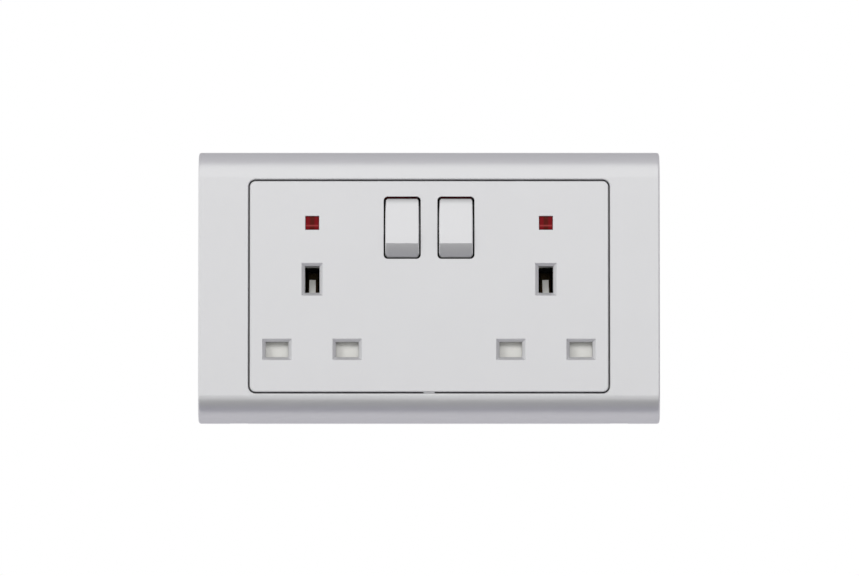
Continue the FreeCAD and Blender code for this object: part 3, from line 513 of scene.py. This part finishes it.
outlet_x = middle_of("neon_lens_right").x
brass = metals["contact_brass"]
from_middle, depth, height = brass.along("X").size(), brass.along("Y"), brass.along("Z")
painted_shade = brass.blend(height.rise(BROWN_BELOW, BLACK_ABOVE), SHADE_BROWN, SHADE_BLACK)
under_slot = from_middle.inside(outlet_x, SLOT_HALF_WIDTH, SLOT_BORDER)
under_slot = under_slot * height.inside(EARTH_SLOT_Z, SLOT_HALF_HEIGHT, SLOT_BORDER)
at_switch = from_middle.inside(0.0, SWITCH_HALF_WIDTH, SWITCH_BORDER) * height.rise(SWITCH_SHADE_FROM, SWITCH_SHADE_FULL)
# Painted shade behind the earth slot and at the switches, growing with depth.
shaded = depth.rise(SHADE_FROM_DEPTH, SHADE_FULL_DEPTH) * under_slot.most(at_switch)
patches = brass.noise(PATCH_SIZE, detail=3.0)
brass.tint(brass.blend(shaded * (SHADE_SHARE + patches * PATCH_SHARE), brass.colour, painted_shade))
print("brass_shade from y, mm:", SHADE_FROM_DEPTH / MM, "to", SHADE_FULL_DEPTH / MM)

# %% [markdown]
# The red window
#
# The window is clear red plastic over a small lamp. Unlit, it looks nearly black-red, with a brown
# shadow down its middle where the lamp stands and a paler line where its lower edge catches light.
# Real refraction would need many samples for an area of fourteen pixels, so what shows through is
# written into the colour, with the lamp's shadow as a painted shadow and the paler line as a painted
# highlight.

# %% Tint the window
LENS_RED = (0.165, 0.004, 0.008)
LENS_SHADOW = (0.075, 0.007, 0.004)
LENS_GLINT = (0.30, 0.045, 0.045)
SHADOW_HALF = 0.75 * MM
SHADOW_BORDER = 0.3 * MM
GLINT_DROP = 0.85 * MM
GLINT_HALF = 0.22 * MM
GLINT_BORDER = 0.15 * MM
RIPPLE_SIZE = 0.8 * MM
RIPPLE_DEPTH = 0.01 * MM
WINDOW_EDGE = 0.2 * MM
SHADOW_SHARE = 0.8
RIPPLE_SHARE = 0.2
GLINT_SHARE = 0.8
SIDES = ("left", "right")


def window_red(side):
    """Dark red with the lamp's shadow down the middle and a glint low down, for one outlet."""
    middle = middle_of("neon_lens_" + side)
    red = Finish("window_red_" + side, Roughness=0.16, Specular_IOR_Level=0.08)
    lamp_shadow = red.along("X").inside(middle.x, SHADOW_HALF, SHADOW_BORDER)
    # Painted highlight: a paler line low on the window.
    glint = red.along("Z").inside(middle.z - GLINT_DROP, GLINT_HALF, GLINT_BORDER)
    ripple = red.noise(RIPPLE_SIZE)
    shade = lamp_shadow * SHADOW_SHARE + ripple * RIPPLE_SHARE
    red.tint(red.blend(glint * GLINT_SHARE, red.blend(shade, LENS_RED, LENS_SHADOW), LENS_GLINT))
    red.relief(ripple, RIPPLE_DEPTH, soft_edge=WINDOW_EDGE)
    return red


window_reds = {side: window_red(side) for side in SIDES}
print("windows:", sorted(window_reds))

# %% [markdown]
# Glass and lacquer
#
# A neon lamp is a small glass tube, clear with a slight smoke near its electrodes. The resistor below
# it is dipped in tan lacquer and carries four painted bands that give its value, which every such
# resistor has. The bands are masks on the height of the point, so they go round the body evenly.

# %% Make the lamp's and the resistor's finishes
TAN_LIGHT = (0.66, 0.50, 0.30)
TAN_DARK = (0.58, 0.42, 0.24)
RED, BROWN, YELLOW = (0.45, 0.02, 0.02), (0.12, 0.045, 0.015), (0.75, 0.55, 0.05)
BANDS = ((RED, 1.6 * MM), (RED, 0.8 * MM), (YELLOW, 0.0), (BROWN, -1.5 * MM))
BAND_HALF = 0.2 * MM
BAND_BORDER = 0.04 * MM
CLEAR_GLASS = (0.9, 0.86, 0.8)
SMOKED_GLASS = (0.75, 0.7, 0.62)
SMOKE_SIZE = 1.5 * MM
LACQUER_GRAIN = 0.5 * MM
LACQUER_DEPTH = 0.01 * MM
LACQUER_EDGE = 0.1 * MM
LACQUER_SATIN = 0.3
LACQUER_SPREAD = 0.15
RESISTOR_DROP = 8.0 * MM

lamp_glass = Finish("lamp_glass", Roughness=0.05, Transmission_Weight=0.9, IOR=1.47)
lamp_glass.tint(lamp_glass.blend(lamp_glass.noise(SMOKE_SIZE), CLEAR_GLASS, SMOKED_GLASS))

lamp_z = middle_of("neon_lens_left").z
resistor_z = lamp_z - RESISTOR_DROP
resistor_body = Finish("resistor_body")
lacquer = resistor_body.noise(LACQUER_GRAIN, detail=3.0)
resistor_body.tint(resistor_body.blend(lacquer, TAN_DARK, TAN_LIGHT))
for band, rise in BANDS:
    ring = resistor_body.along("Z").inside(resistor_z + rise, BAND_HALF, BAND_BORDER)
    resistor_body.tint(resistor_body.blend(ring, resistor_body.colour, band))
resistor_body.drive("Roughness", LACQUER_SATIN + lacquer * LACQUER_SPREAD)
resistor_body.relief(lacquer, LACQUER_DEPTH, soft_edge=LACQUER_EDGE)
print("resistor at z, mm:", round(resistor_z / MM, 2))

# %% [markdown]
# Give every solid its finish
#
# Each CAD solid already has a material slot that says what it is made of. Putting the finished
# material into that slot keeps the solid as it is and changes only how it looks. The frame's paint has
# no masks, and each window's red is placed for its own side, so these three solids have their own.

# %% Dress the solids
finishes = {
    **metals,
    "panel_paint": panel_paint,
    "rocker_paint": rocker_paint,
    "housing_plastic": housing_plastic,
    "shutter_plastic": shutter_plastic,
    "plunger_plastic": plunger_plastic,
    "lamp_glass": lamp_glass,
    "resistor_body": resistor_body,
}
own_finishes = {"cover_frame": frame_paint}
own_finishes.update(("neon_lens_" + side, red) for side, red in window_reds.items())
for part in frame["record"]["subparts"]:
    name = part["node"]
    finish = own_finishes[name] if name in own_finishes else finishes[part["material_slot"]]
    for slot in nodes[name].material_slots:
        slot.material = finish.material
print("dressed:", len(nodes))

# %% [markdown]
# Rings round a path
#
# Springs, lamps, leads and windows are all the same kind of surface: a closed ring carried along a
# path while its size changes. Modifiers or curves could make each of them, but one grid of points
# makes them all, and its faces follow from the order of the points. A row of the grid is one ring.

# %% Work out rings of points
def unit(vectors):
    """Each vector at length 1."""
    return vectors / np.linalg.norm(vectors, axis=-1, keepdims=True)


def rings(path, heading, radius, reference, sides):
    """A grid with one ring of points for each point of a path.

    A ring is the path's point plus radius times (cosine of the turn times side plus sine of the turn
    times up). Side is square to the reference and the heading, and up is square to side and heading.
    """
    path = np.asarray(path, float)
    heading = unit(np.broadcast_to(np.asarray(heading, float), path.shape))
    side = unit(np.cross(reference, heading))
    up = np.cross(heading, side)
    turn = np.linspace(0.0, 2 * np.pi, sides, endpoint=False)[None, :, None]
    size = np.broadcast_to(radius, len(path))[:, None, None]
    return path[:, None] + size * (np.cos(turn) * side[:, None] + np.sin(turn) * up[:, None])


print("rings ready")

# %% [markdown]
# From grids to a piece
#
# A grid only holds points. A face joins each four neighbours, the last column meets the first, and one
# more face closes each end, so nothing is left open. The mesh then becomes a piece that rides on a body
# of the CAD model and stands for the plain solids, which stay for collision and are no longer shown.

# %% Turn grids into one closed mesh
def grid_piece(name, grids, finish, body, replaced):
    """A piece whose mesh is one or more closed grids, riding on a body in place of CAD nodes."""
    faces = []
    first = 0
    for grid in grids:
        rows, columns = grid.shape[:2]
        here = first + np.arange(rows * columns).reshape(rows, columns)
        there = np.roll(here, -1, axis=1)
        cells = np.stack([here[:-1], there[:-1], there[1:], here[1:]], axis=-1)
        faces += cells.reshape(-1, 4).tolist() + [here[0, ::-1].tolist(), here[-1].tolist()]
        first += rows * columns
    mesh = bpy.data.meshes.new(name)
    mesh.from_pydata(np.concatenate([g.reshape(-1, 3) for g in grids]).tolist(), [], faces)
    mesh.shade_smooth()
    mesh.materials.append(finish.material)
    piece = bpy.data.objects.new(name, mesh)
    bpy.context.scene.collection.objects.link(piece)
    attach(piece, body)
    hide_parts(*replaced)
    return piece


print("pieces can be made")

# %% [markdown]
# Round-wire springs
#
# The CAD springs are square in section and have a few straight stretches, which is enough to seat and
# weigh them. A real one is drawn from round wire, and its last turn at each end lies flat so that it
# stands square. A helix whose height grows slowly in the end turns and faster between them gives that.
# When a shutter drops or a plunger is pushed in, the real spring shortens, but this one keeps its length.

# %% Wind the springs
WIRE_RADIUS = 0.2 * MM
WIRE_SIDES = 10
SPRING_RADIUS = 1.4 * MM
STEPS_PER_TURN = 24
CLOSED_PITCH = 2.1 * WIRE_RADIUS
FLAT_TURNS = 0.7
EASE_TURNS = 0.6


def spring_grid(start, end, turns):
    """Round wire on a helix: the point at a turn is the axis point at its height, plus the radius times
    (cosine of the turn times side plus sine of the turn times up). The height gains a little more than
    the wire's thickness in each turn, and the rest is shared over the turns between the flat ones.
    """
    start, end = np.asarray(start, float), np.asarray(end, float)
    axis = unit(end - start)
    side = np.array([1.0, 0.0, 0.0])
    up = np.cross(axis, side)
    turn = np.linspace(0.0, turns, turns * STEPS_PER_TURN + 1)
    from_end = np.minimum(turn, turns - turn)
    open_share = np.clip((from_end - FLAT_TURNS) / EASE_TURNS, 0.0, 1.0)
    gain = np.cumsum(open_share ** 2 * (3 - 2 * open_share))
    closed_height = CLOSED_PITCH * turn
    room = np.linalg.norm(end - start) - 2 * WIRE_RADIUS - closed_height[-1]
    height = WIRE_RADIUS + closed_height + room * gain / gain[-1]
    angle = 2 * np.pi * turn[:, None]
    out = np.cos(angle) * side + np.sin(angle) * up
    path = start + height[:, None] * axis + (SPRING_RADIUS - WIRE_RADIUS) * out
    return rings(path, np.gradient(path, axis=0), WIRE_RADIUS, axis, WIRE_SIDES)


print("wire, mm:", 2 * WIRE_RADIUS / MM)

# %% [markdown]
# Where each spring stands
#
# The shutter's spring stands upright between the pegs of the guide and the shutter. The plunger's
# spring lies along the stem of the rocker, which leans with the rocker, so its line comes from the
# joint that the plunger slides on.

# %% Place the springs
SHUTTER_TURNS = 8
PLUNGER_TURNS = 5
BORE_END = -3.5 * MM
PLUNGER_HEAD = 1.0 * MM
joints = {joint["name"]: joint for joint in frame["joints"]}
steel = metals["spring_steel"]

for side in SIDES:
    name = "shutter_spring_" + side
    low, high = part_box(name)
    middle = (low + high) / 2
    foot = (middle.x, middle.y, low.z)
    grid = spring_grid(foot, (middle.x, middle.y, high.z), SHUTTER_TURNS)
    spring = grid_piece("round_" + name, [grid], steel, "socket", [name])
    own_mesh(spring)

    name = "plunger_spring_" + side
    pivot = np.array(joints["rocker_%s_tilt" % side]["pos_m"])
    inward = -unit(np.array(joints["plunger_%s_slide" % side]["axis"], float))
    root, head = pivot + BORE_END * inward, pivot + PLUNGER_HEAD * inward
    grid = spring_grid(root, head, PLUNGER_TURNS)
    spring = grid_piece("round_" + name, [grid], steel, "rocker_" + side, [name])
    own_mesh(spring)
    print(side, "springs wound, faces:", len(spring.data.polygons))

# %% [markdown]
# Neon lamps
#
# Each lamp is a glass tube with a drawn tip above and a narrow seal below, and two nickel rods stand
# inside it. A cylinder would look like a fuse. A profile of heights and radii carried round the tube's
# axis gives the shoulder and the tip, and the rods are two more grids in the wires' piece.

# %% Blow the glass
UPWARD = (0.0, 0.0, 1.0)
FACING = (0.0, 1.0, 0.0)
LAMP_DEPTH = 5.3 * MM
GLASS_PROFILE = np.array([
    (-4.4, 0.75), (-4.25, 1.1), (-3.9, 1.42), (-3.4, 1.58), (-3.0, 1.6), (2.6, 1.6), (3.1, 1.57),
    (3.5, 1.42), (3.8, 1.12), (3.98, 0.7), (4.12, 0.36), (4.28, 0.22), (4.4, 0.08),
]) * MM
RESISTOR_PROFILE = np.array([
    (-2.3, 0.45), (-2.2, 0.8), (-1.95, 1.05), (-1.7, 1.1), (-1.4, 1.06), (-1.1, 0.94), (-0.8, 0.9),
    (0.8, 0.9), (1.1, 0.94), (1.4, 1.06), (1.7, 1.1), (1.95, 1.05), (2.2, 0.8), (2.3, 0.45),
]) * MM


def turned(x, y, z, profile, sides=28):
    """A turned form on an upright axis: a ring at each height of the profile, with its radius there."""
    path = np.array([x, y, z]) + profile[:, :1] * np.array(UPWARD)
    return rings(path, UPWARD, profile[:, 1], FACING, sides)


lamp_y = front_y + LAMP_DEPTH
for side in SIDES:
    x = middle_of("neon_lens_" + side).x
    glass = turned(x, lamp_y, lamp_z, GLASS_PROFILE)
    node = "neon_lamp_" + side
    lamp = grid_piece("glass_" + node, [glass], lamp_glass, "socket", [node])
    body = turned(x, lamp_y, resistor_z, RESISTOR_PROFILE)
    node = "neon_resistor_" + side
    grid_piece("body_" + node, [body], resistor_body, "socket", [node])
    print(side, "lamp and resistor, faces of the glass:", len(lamp.data.polygons))

# %% [markdown]
# Wires of the lamps
#
# A stiff wire joins each lamp to its resistor, another runs back to the switched brass link, and a
# third drops from the resistor to the neutral bar. They are bent by hand with pliers, so each bend is
# a short arc between straight runs. The arc is a curve with three control points: one before the
# corner, the corner and one after it. The rings need a direction that no run follows, to start from.

# %% Bend the wires
LEAD_RADIUS = 0.25 * MM
LEAD_SIDES = 10
BEND = 0.45 * MM
BEND_POINTS = 6
CROSS_WAY = (1.0, 0.3, 0.2)
ROD_RADIUS = 0.2
ROD_TIP_RADIUS = 0.12
ROD_TIP = 0.08


def bent_wire(points):
    """Rings along straight runs with short bends between them.

    With t from 0 to 1, a bend is (1 - t) squared times the point before the corner, plus 2 t (1 - t)
    times the corner, plus t squared times the point after it.
    """
    points = np.array(points) * MM
    run = unit(np.diff(points, axis=0))
    corner = points[1:-1]
    before, after = corner - BEND * run[:-1], corner + BEND * run[1:]
    t = np.linspace(0.0, 1.0, BEND_POINTS)[None, :, None]
    arcs = (1 - t) ** 2 * before[:, None] + 2 * t * (1 - t) * corner[:, None] + t ** 2 * after[:, None]
    path = np.concatenate([points[:1], arcs.reshape(-1, 3), points[-1:]])
    return rings(path, np.gradient(path, axis=0), LEAD_RADIUS, CROSS_WAY, LEAD_SIDES)


def electrode(x, z, half):
    """A straight round rod beside the lamp's axis, its ends rounded a little, in millimetres."""
    heights = np.array([-half, -half + ROD_TIP, half - ROD_TIP, half])
    radii = np.array([ROD_TIP_RADIUS, ROD_RADIUS, ROD_RADIUS, ROD_TIP_RADIUS])
    return turned(x * MM, lamp_y, z * MM, np.stack([heights, radii], axis=1) * MM, sides=12)


print("lead, mm:", 2 * LEAD_RADIUS / MM)

# %% [markdown]
# Where the wires end
#
# The link and the bar that the wires are soldered to are CAD solids. The depth of the link and the top
# of the bar come from the boxes of those solids, their places across and the link's height are listed,
# and the rest comes from the lamp's own place, in millimetres.

# %% Join lamps, resistors and brass
LINK_AND_BAR_X = {"left": (-25.85, -42.5), "right": (37.75, 27.225)}
LINK_Z = 14.0
LINK_INSET = 0.8
RUN_Y = 6.0
BAR_Y = 4.5
RAISE = 0.55
NECK = 0.6
TUCKED_IN = 0.1
SEALED_IN = 0.3
SEAL_X = 0.5
SWING_X = 0.8
ROD_X = 0.55
ROD_DROP = 0.5
ROD_HALF = 2.6

link_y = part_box("live_link_left")[1].y / MM - LINK_INSET
bar_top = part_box("neutral_bar")[1].z / MM
lamp_foot = (lamp_z + GLASS_PROFILE[0, 0]) / MM
resistor_top = (resistor_z + RESISTOR_PROFILE[-1, 0]) / MM
resistor_foot = (resistor_z + RESISTOR_PROFILE[0, 0]) / MM
lamp_deep = lamp_y / MM
for side, (link_x, bar_x) in LINK_AND_BAR_X.items():
    x = middle_of("neon_lens_" + side).x / MM
    lower = [
        (x, lamp_deep, resistor_foot + TUCKED_IN),
        (x, lamp_deep, resistor_foot - RAISE),
        (bar_x, BAR_Y, resistor_foot - 2 * RAISE),
        (bar_x, BAR_Y, bar_top),
    ]
    back = [
        (x + SEAL_X, lamp_deep, lamp_foot + SEALED_IN),
        (x + SWING_X, lamp_deep, lamp_foot - RAISE),
        (link_x, RUN_Y, LINK_Z),
        (link_x, link_y, LINK_Z),
    ]
    middle = [
        (x, lamp_deep, resistor_top - TUCKED_IN),
        (x, lamp_deep, resistor_top + NECK),
        (x, lamp_deep, lamp_foot + SEALED_IN),
    ]
    grids = [bent_wire(points) for points in (lower, back, middle)]
    grids += [electrode(x + ROD_X * s, lamp_z / MM - ROD_DROP, ROD_HALF) for s in (-1, 1)]
    replaced = ["neon_lamp_" + side, "neon_resistor_" + side]
    silver = metals["contact_silver"]
    wires = grid_piece("neon_wires_" + side, grids, silver, "socket", replaced)
    print(side, "wires, faces:", len(wires.data.polygons))

# %% [markdown]
# The windows' buttons
#
# Each window is a small red button pushed in from behind, held by a flange inside the panel. Its
# front is slightly pillowed and its corners are round, which a plain block doesn't show. The section
# is a squircle: a circle whose cosine and sine are raised to a small power, so that it nearly fills
# its square. The last rings shrink towards the middle while they come forward, and make the pillow.

# %% Press the windows
BUTTON_SIDES = 48
CORNER_POWER = 0.16


def squircle_rings(x, z, depths, halves):
    """Squares with round corners, one for each depth: half a side times the sign of the cosine times
    its size to the corner power, and the same with the sine.
    """
    turn = np.linspace(0.0, 2 * np.pi, BUTTON_SIDES, endpoint=False)[None, :]
    half = halves[:, None]
    across = half * np.sign(np.cos(turn)) * np.abs(np.cos(turn)) ** CORNER_POWER
    upward = half * np.sign(np.sin(turn)) * np.abs(np.sin(turn)) ** CORNER_POWER
    deep = np.broadcast_to(depths[:, None], across.shape)
    return np.stack([x + across, deep, z + upward], axis=-1)


BUTTON_HALF = 2.15
FLANGE_DEPTHS = (3.2, 3.15, 2.45, 2.4)
FLANGE_HALVES = (3.05, 3.2, 3.2, 3.1)
BUTTON_DEPTHS = (2.4, 0.5)
PILLOW_START = 0.42
PILLOW_HEIGHT = 0.27
PILLOW_RINGS = 9
NEARLY_CLOSED = 0.97

lean = np.linspace(0.0, 0.5 * np.pi, PILLOW_RINGS)
pillow_depths = PILLOW_START - PILLOW_HEIGHT * np.sin(lean)
pillow_halves = BUTTON_HALF * np.cos(lean * NEARLY_CLOSED)
depths = np.concatenate([FLANGE_DEPTHS, BUTTON_DEPTHS, pillow_depths]) * MM + front_y
halves = np.concatenate([FLANGE_HALVES, [BUTTON_HALF, BUTTON_HALF], pillow_halves]) * MM
for side in SIDES:
    node = "neon_lens_" + side
    grid = squircle_rings(middle_of(node).x, lamp_z, depths, halves)
    button = grid_piece("pillow_" + node, [grid], window_reds[side], "socket", [node])
    print(side, "window, faces:", len(button.data.polygons))

# %% [markdown]
# The studio
#
# The photograph is a cut-out on pure white, lit by large soft lamps in front, a little above and to
# the left. The world shows white to the camera and in reflections, but lights the object more gently,
# so that the curved bands above and below the panel keep their shading. The floor is white too. Far
# from the object it is plain white, and near the object it is lit and keeps the shadow.

# %% Make the world
WORLD_LEVEL = 0.68
WHITE = (1.0, 1.0, 1.0, 1.0)

world = bpy.data.worlds.new("studio")
bpy.context.scene.world = world
sky = Tree(world)
shown = sky.ray("Camera").most(sky.ray("Glossy")).most(sky.ray("Transmission"))
strength = WORLD_LEVEL + (1 - WORLD_LEVEL) * shown
lit_sky = sky.node("ShaderNodeBackground", sockets={"Color": WHITE, "Strength": strength})
sky.links.new(lit_sky.socket, sky.nodes["World Output"].inputs["Surface"])
print("world level for diffuse light:", WORLD_LEVEL)

# %% [markdown]
# The lamps
#
# A large lamp at the upper left gives the soft side of the light. A smaller one in front, higher than
# the plate, lights its face evenly and throws short shadows into the slots. Seen in the paint, both
# would wash out the bands, so reflections don't show them: they show the cards that come next.

# %% Hang the lamps
def soft_lamp(name, place, size, power):
    """A square lamp that faces the middle of the plate and isn't seen in reflections."""
    data = bpy.data.lights.new(name, "AREA")
    data.shape = "SQUARE"
    data.size = size
    data.energy = power
    lamp = bpy.data.objects.new(name, data)
    bpy.context.scene.collection.objects.link(lamp)
    lamp.location = place
    lamp.rotation_euler = (-Vector(place)).to_track_quat("-Z", "Y").to_euler()
    lamp.visible_glossy = False
    return lamp


lamps = [
    soft_lamp("key", (-1.2, -2.1, 0.8), size=1.0, power=12.0),
    soft_lamp("fill", (0.05, -2.45, 0.7), size=0.6, power=16.8),
]
print("lamp power, W:", [round(lamp.data.energy, 1) for lamp in lamps])

# %% [markdown]
# Cards for the reflections
#
# A satin surface needs something to reflect, or it looks like white plastic. Photographers hang grey
# and black cards round a shiny thing for that. Each card here has one brightness and is seen only in
# reflections. One lies low in front of the plate and puts the dark line along its lower band, a narrow
# and bluer one lies between it and the plate, and one behind the plate greys the rest of that band. One
# stands on the right, and one hangs above for the upper band.

# %% Hang the cards
CARD_TINT = (1.0, 0.975, 1.06)
BLUE_TINT = (1.0, 0.9, 1.9)
BLACK = (0.0, 0.0, 0.0, 1.0)


def card(name, brightness, corner, side_a, side_b, tint=CARD_TINT):
    """A card of one brightness, from a corner along two sides, seen only in reflections."""
    corner, side_a, side_b = (np.array(v, float) for v in (corner, side_a, side_b))
    points = np.stack([corner, corner + side_a, corner + side_a + side_b, corner + side_b])
    mesh = bpy.data.meshes.new(name)
    mesh.from_pydata(points.tolist(), [], [(0, 1, 2, 3)])
    made = bpy.data.objects.new(name, mesh)
    bpy.context.scene.collection.objects.link(made)
    glow = (*(brightness * share for share in tint), 1.0)
    even = Finish(name, Base_Color=BLACK, Specular_IOR_Level=0.0, Emission_Color=glow, Emission_Strength=1.0)
    mesh.materials.append(even.material)
    for ray in ("camera", "diffuse", "shadow", "transmission"):
        setattr(made, "visible_" + ray, False)
    return made


cards = [
    card("card_below", 0.05, (-1.2, -0.95, -0.195), (2.4, 0, 0), (0, 0.78, 0)),
    card("card_near", 0.07, (-1.2, -0.17, -0.195), (2.4, 0, 0), (0, 0.12, 0), tint=BLUE_TINT),
    card("card_behind", 0.58, (-1.2, -0.04, -0.195), (2.4, 0, 0), (0, 0.9, 0)),
    card("card_right", 0.3, (0.9, -0.5, -0.15), (0, 0.9, 0), (0, 0, 0.9)),
    card("card_above", 0.42, (-1.0, -0.27, 0.6), (2.0, 0, 0), (0, 1.5, 0)),
]
print("cards:", len(cards))

# %% [markdown]
# The floor
#
# The plate hangs on a wall in use, and here it floats a little above a pale floor. The floor is one
# large square. Near the object it is lit as any floor is, and beyond a few hand's breadths it turns
# to the same plain white as the background, so no horizon shows.

# %% Lay the floor
FLOOR_Z = -0.2
FLOOR_HALF = 40.0
LIT_RADIUS = 0.35
WHITE_RADIUS = 0.77
PALE_GREY = (0.86, 0.86, 0.86, 1.0)

floor_mesh = bpy.data.meshes.new("floor")
corners = FLOOR_HALF * np.array([(-1, -1, 0), (1, -1, 0), (1, 1, 0), (-1, 1, 0)]) + (0, 0, FLOOR_Z)
floor_mesh.from_pydata(corners.tolist(), [], [(0, 1, 2, 3)])
floor = bpy.data.objects.new("floor", floor_mesh)
bpy.context.scene.collection.objects.link(floor)

pale = Finish("floor", Base_Color=PALE_GREY, Roughness=0.9)
level_place = pale.node("ShaderNodeVectorMath", {"operation": "MULTIPLY"}, {0: pale.place(), 1: (1, 1, 0)})
distance = pale.node("ShaderNodeVectorMath", {"operation": "LENGTH"}, {0: level_place}, output=1)
far_off = distance.rise(LIT_RADIUS, WHITE_RADIUS)
shows_white = far_off * pale.ray("Camera") + pale.ray("Glossy") + pale.ray("Transmission")
white = pale.node("ShaderNodeEmission", sockets={"Color": WHITE})
lit = Wire(pale, pale.shader.outputs[0])
surface = pale.node("ShaderNodeMixShader", sockets={0: shows_white, 1: lit, 2: white})
pale.links.new(surface.socket, pale.nodes["Material Output"].inputs["Surface"])
floor_mesh.materials.append(pale.material)
print("floor at z, mm:", FLOOR_Z / MM)

# %% [markdown]
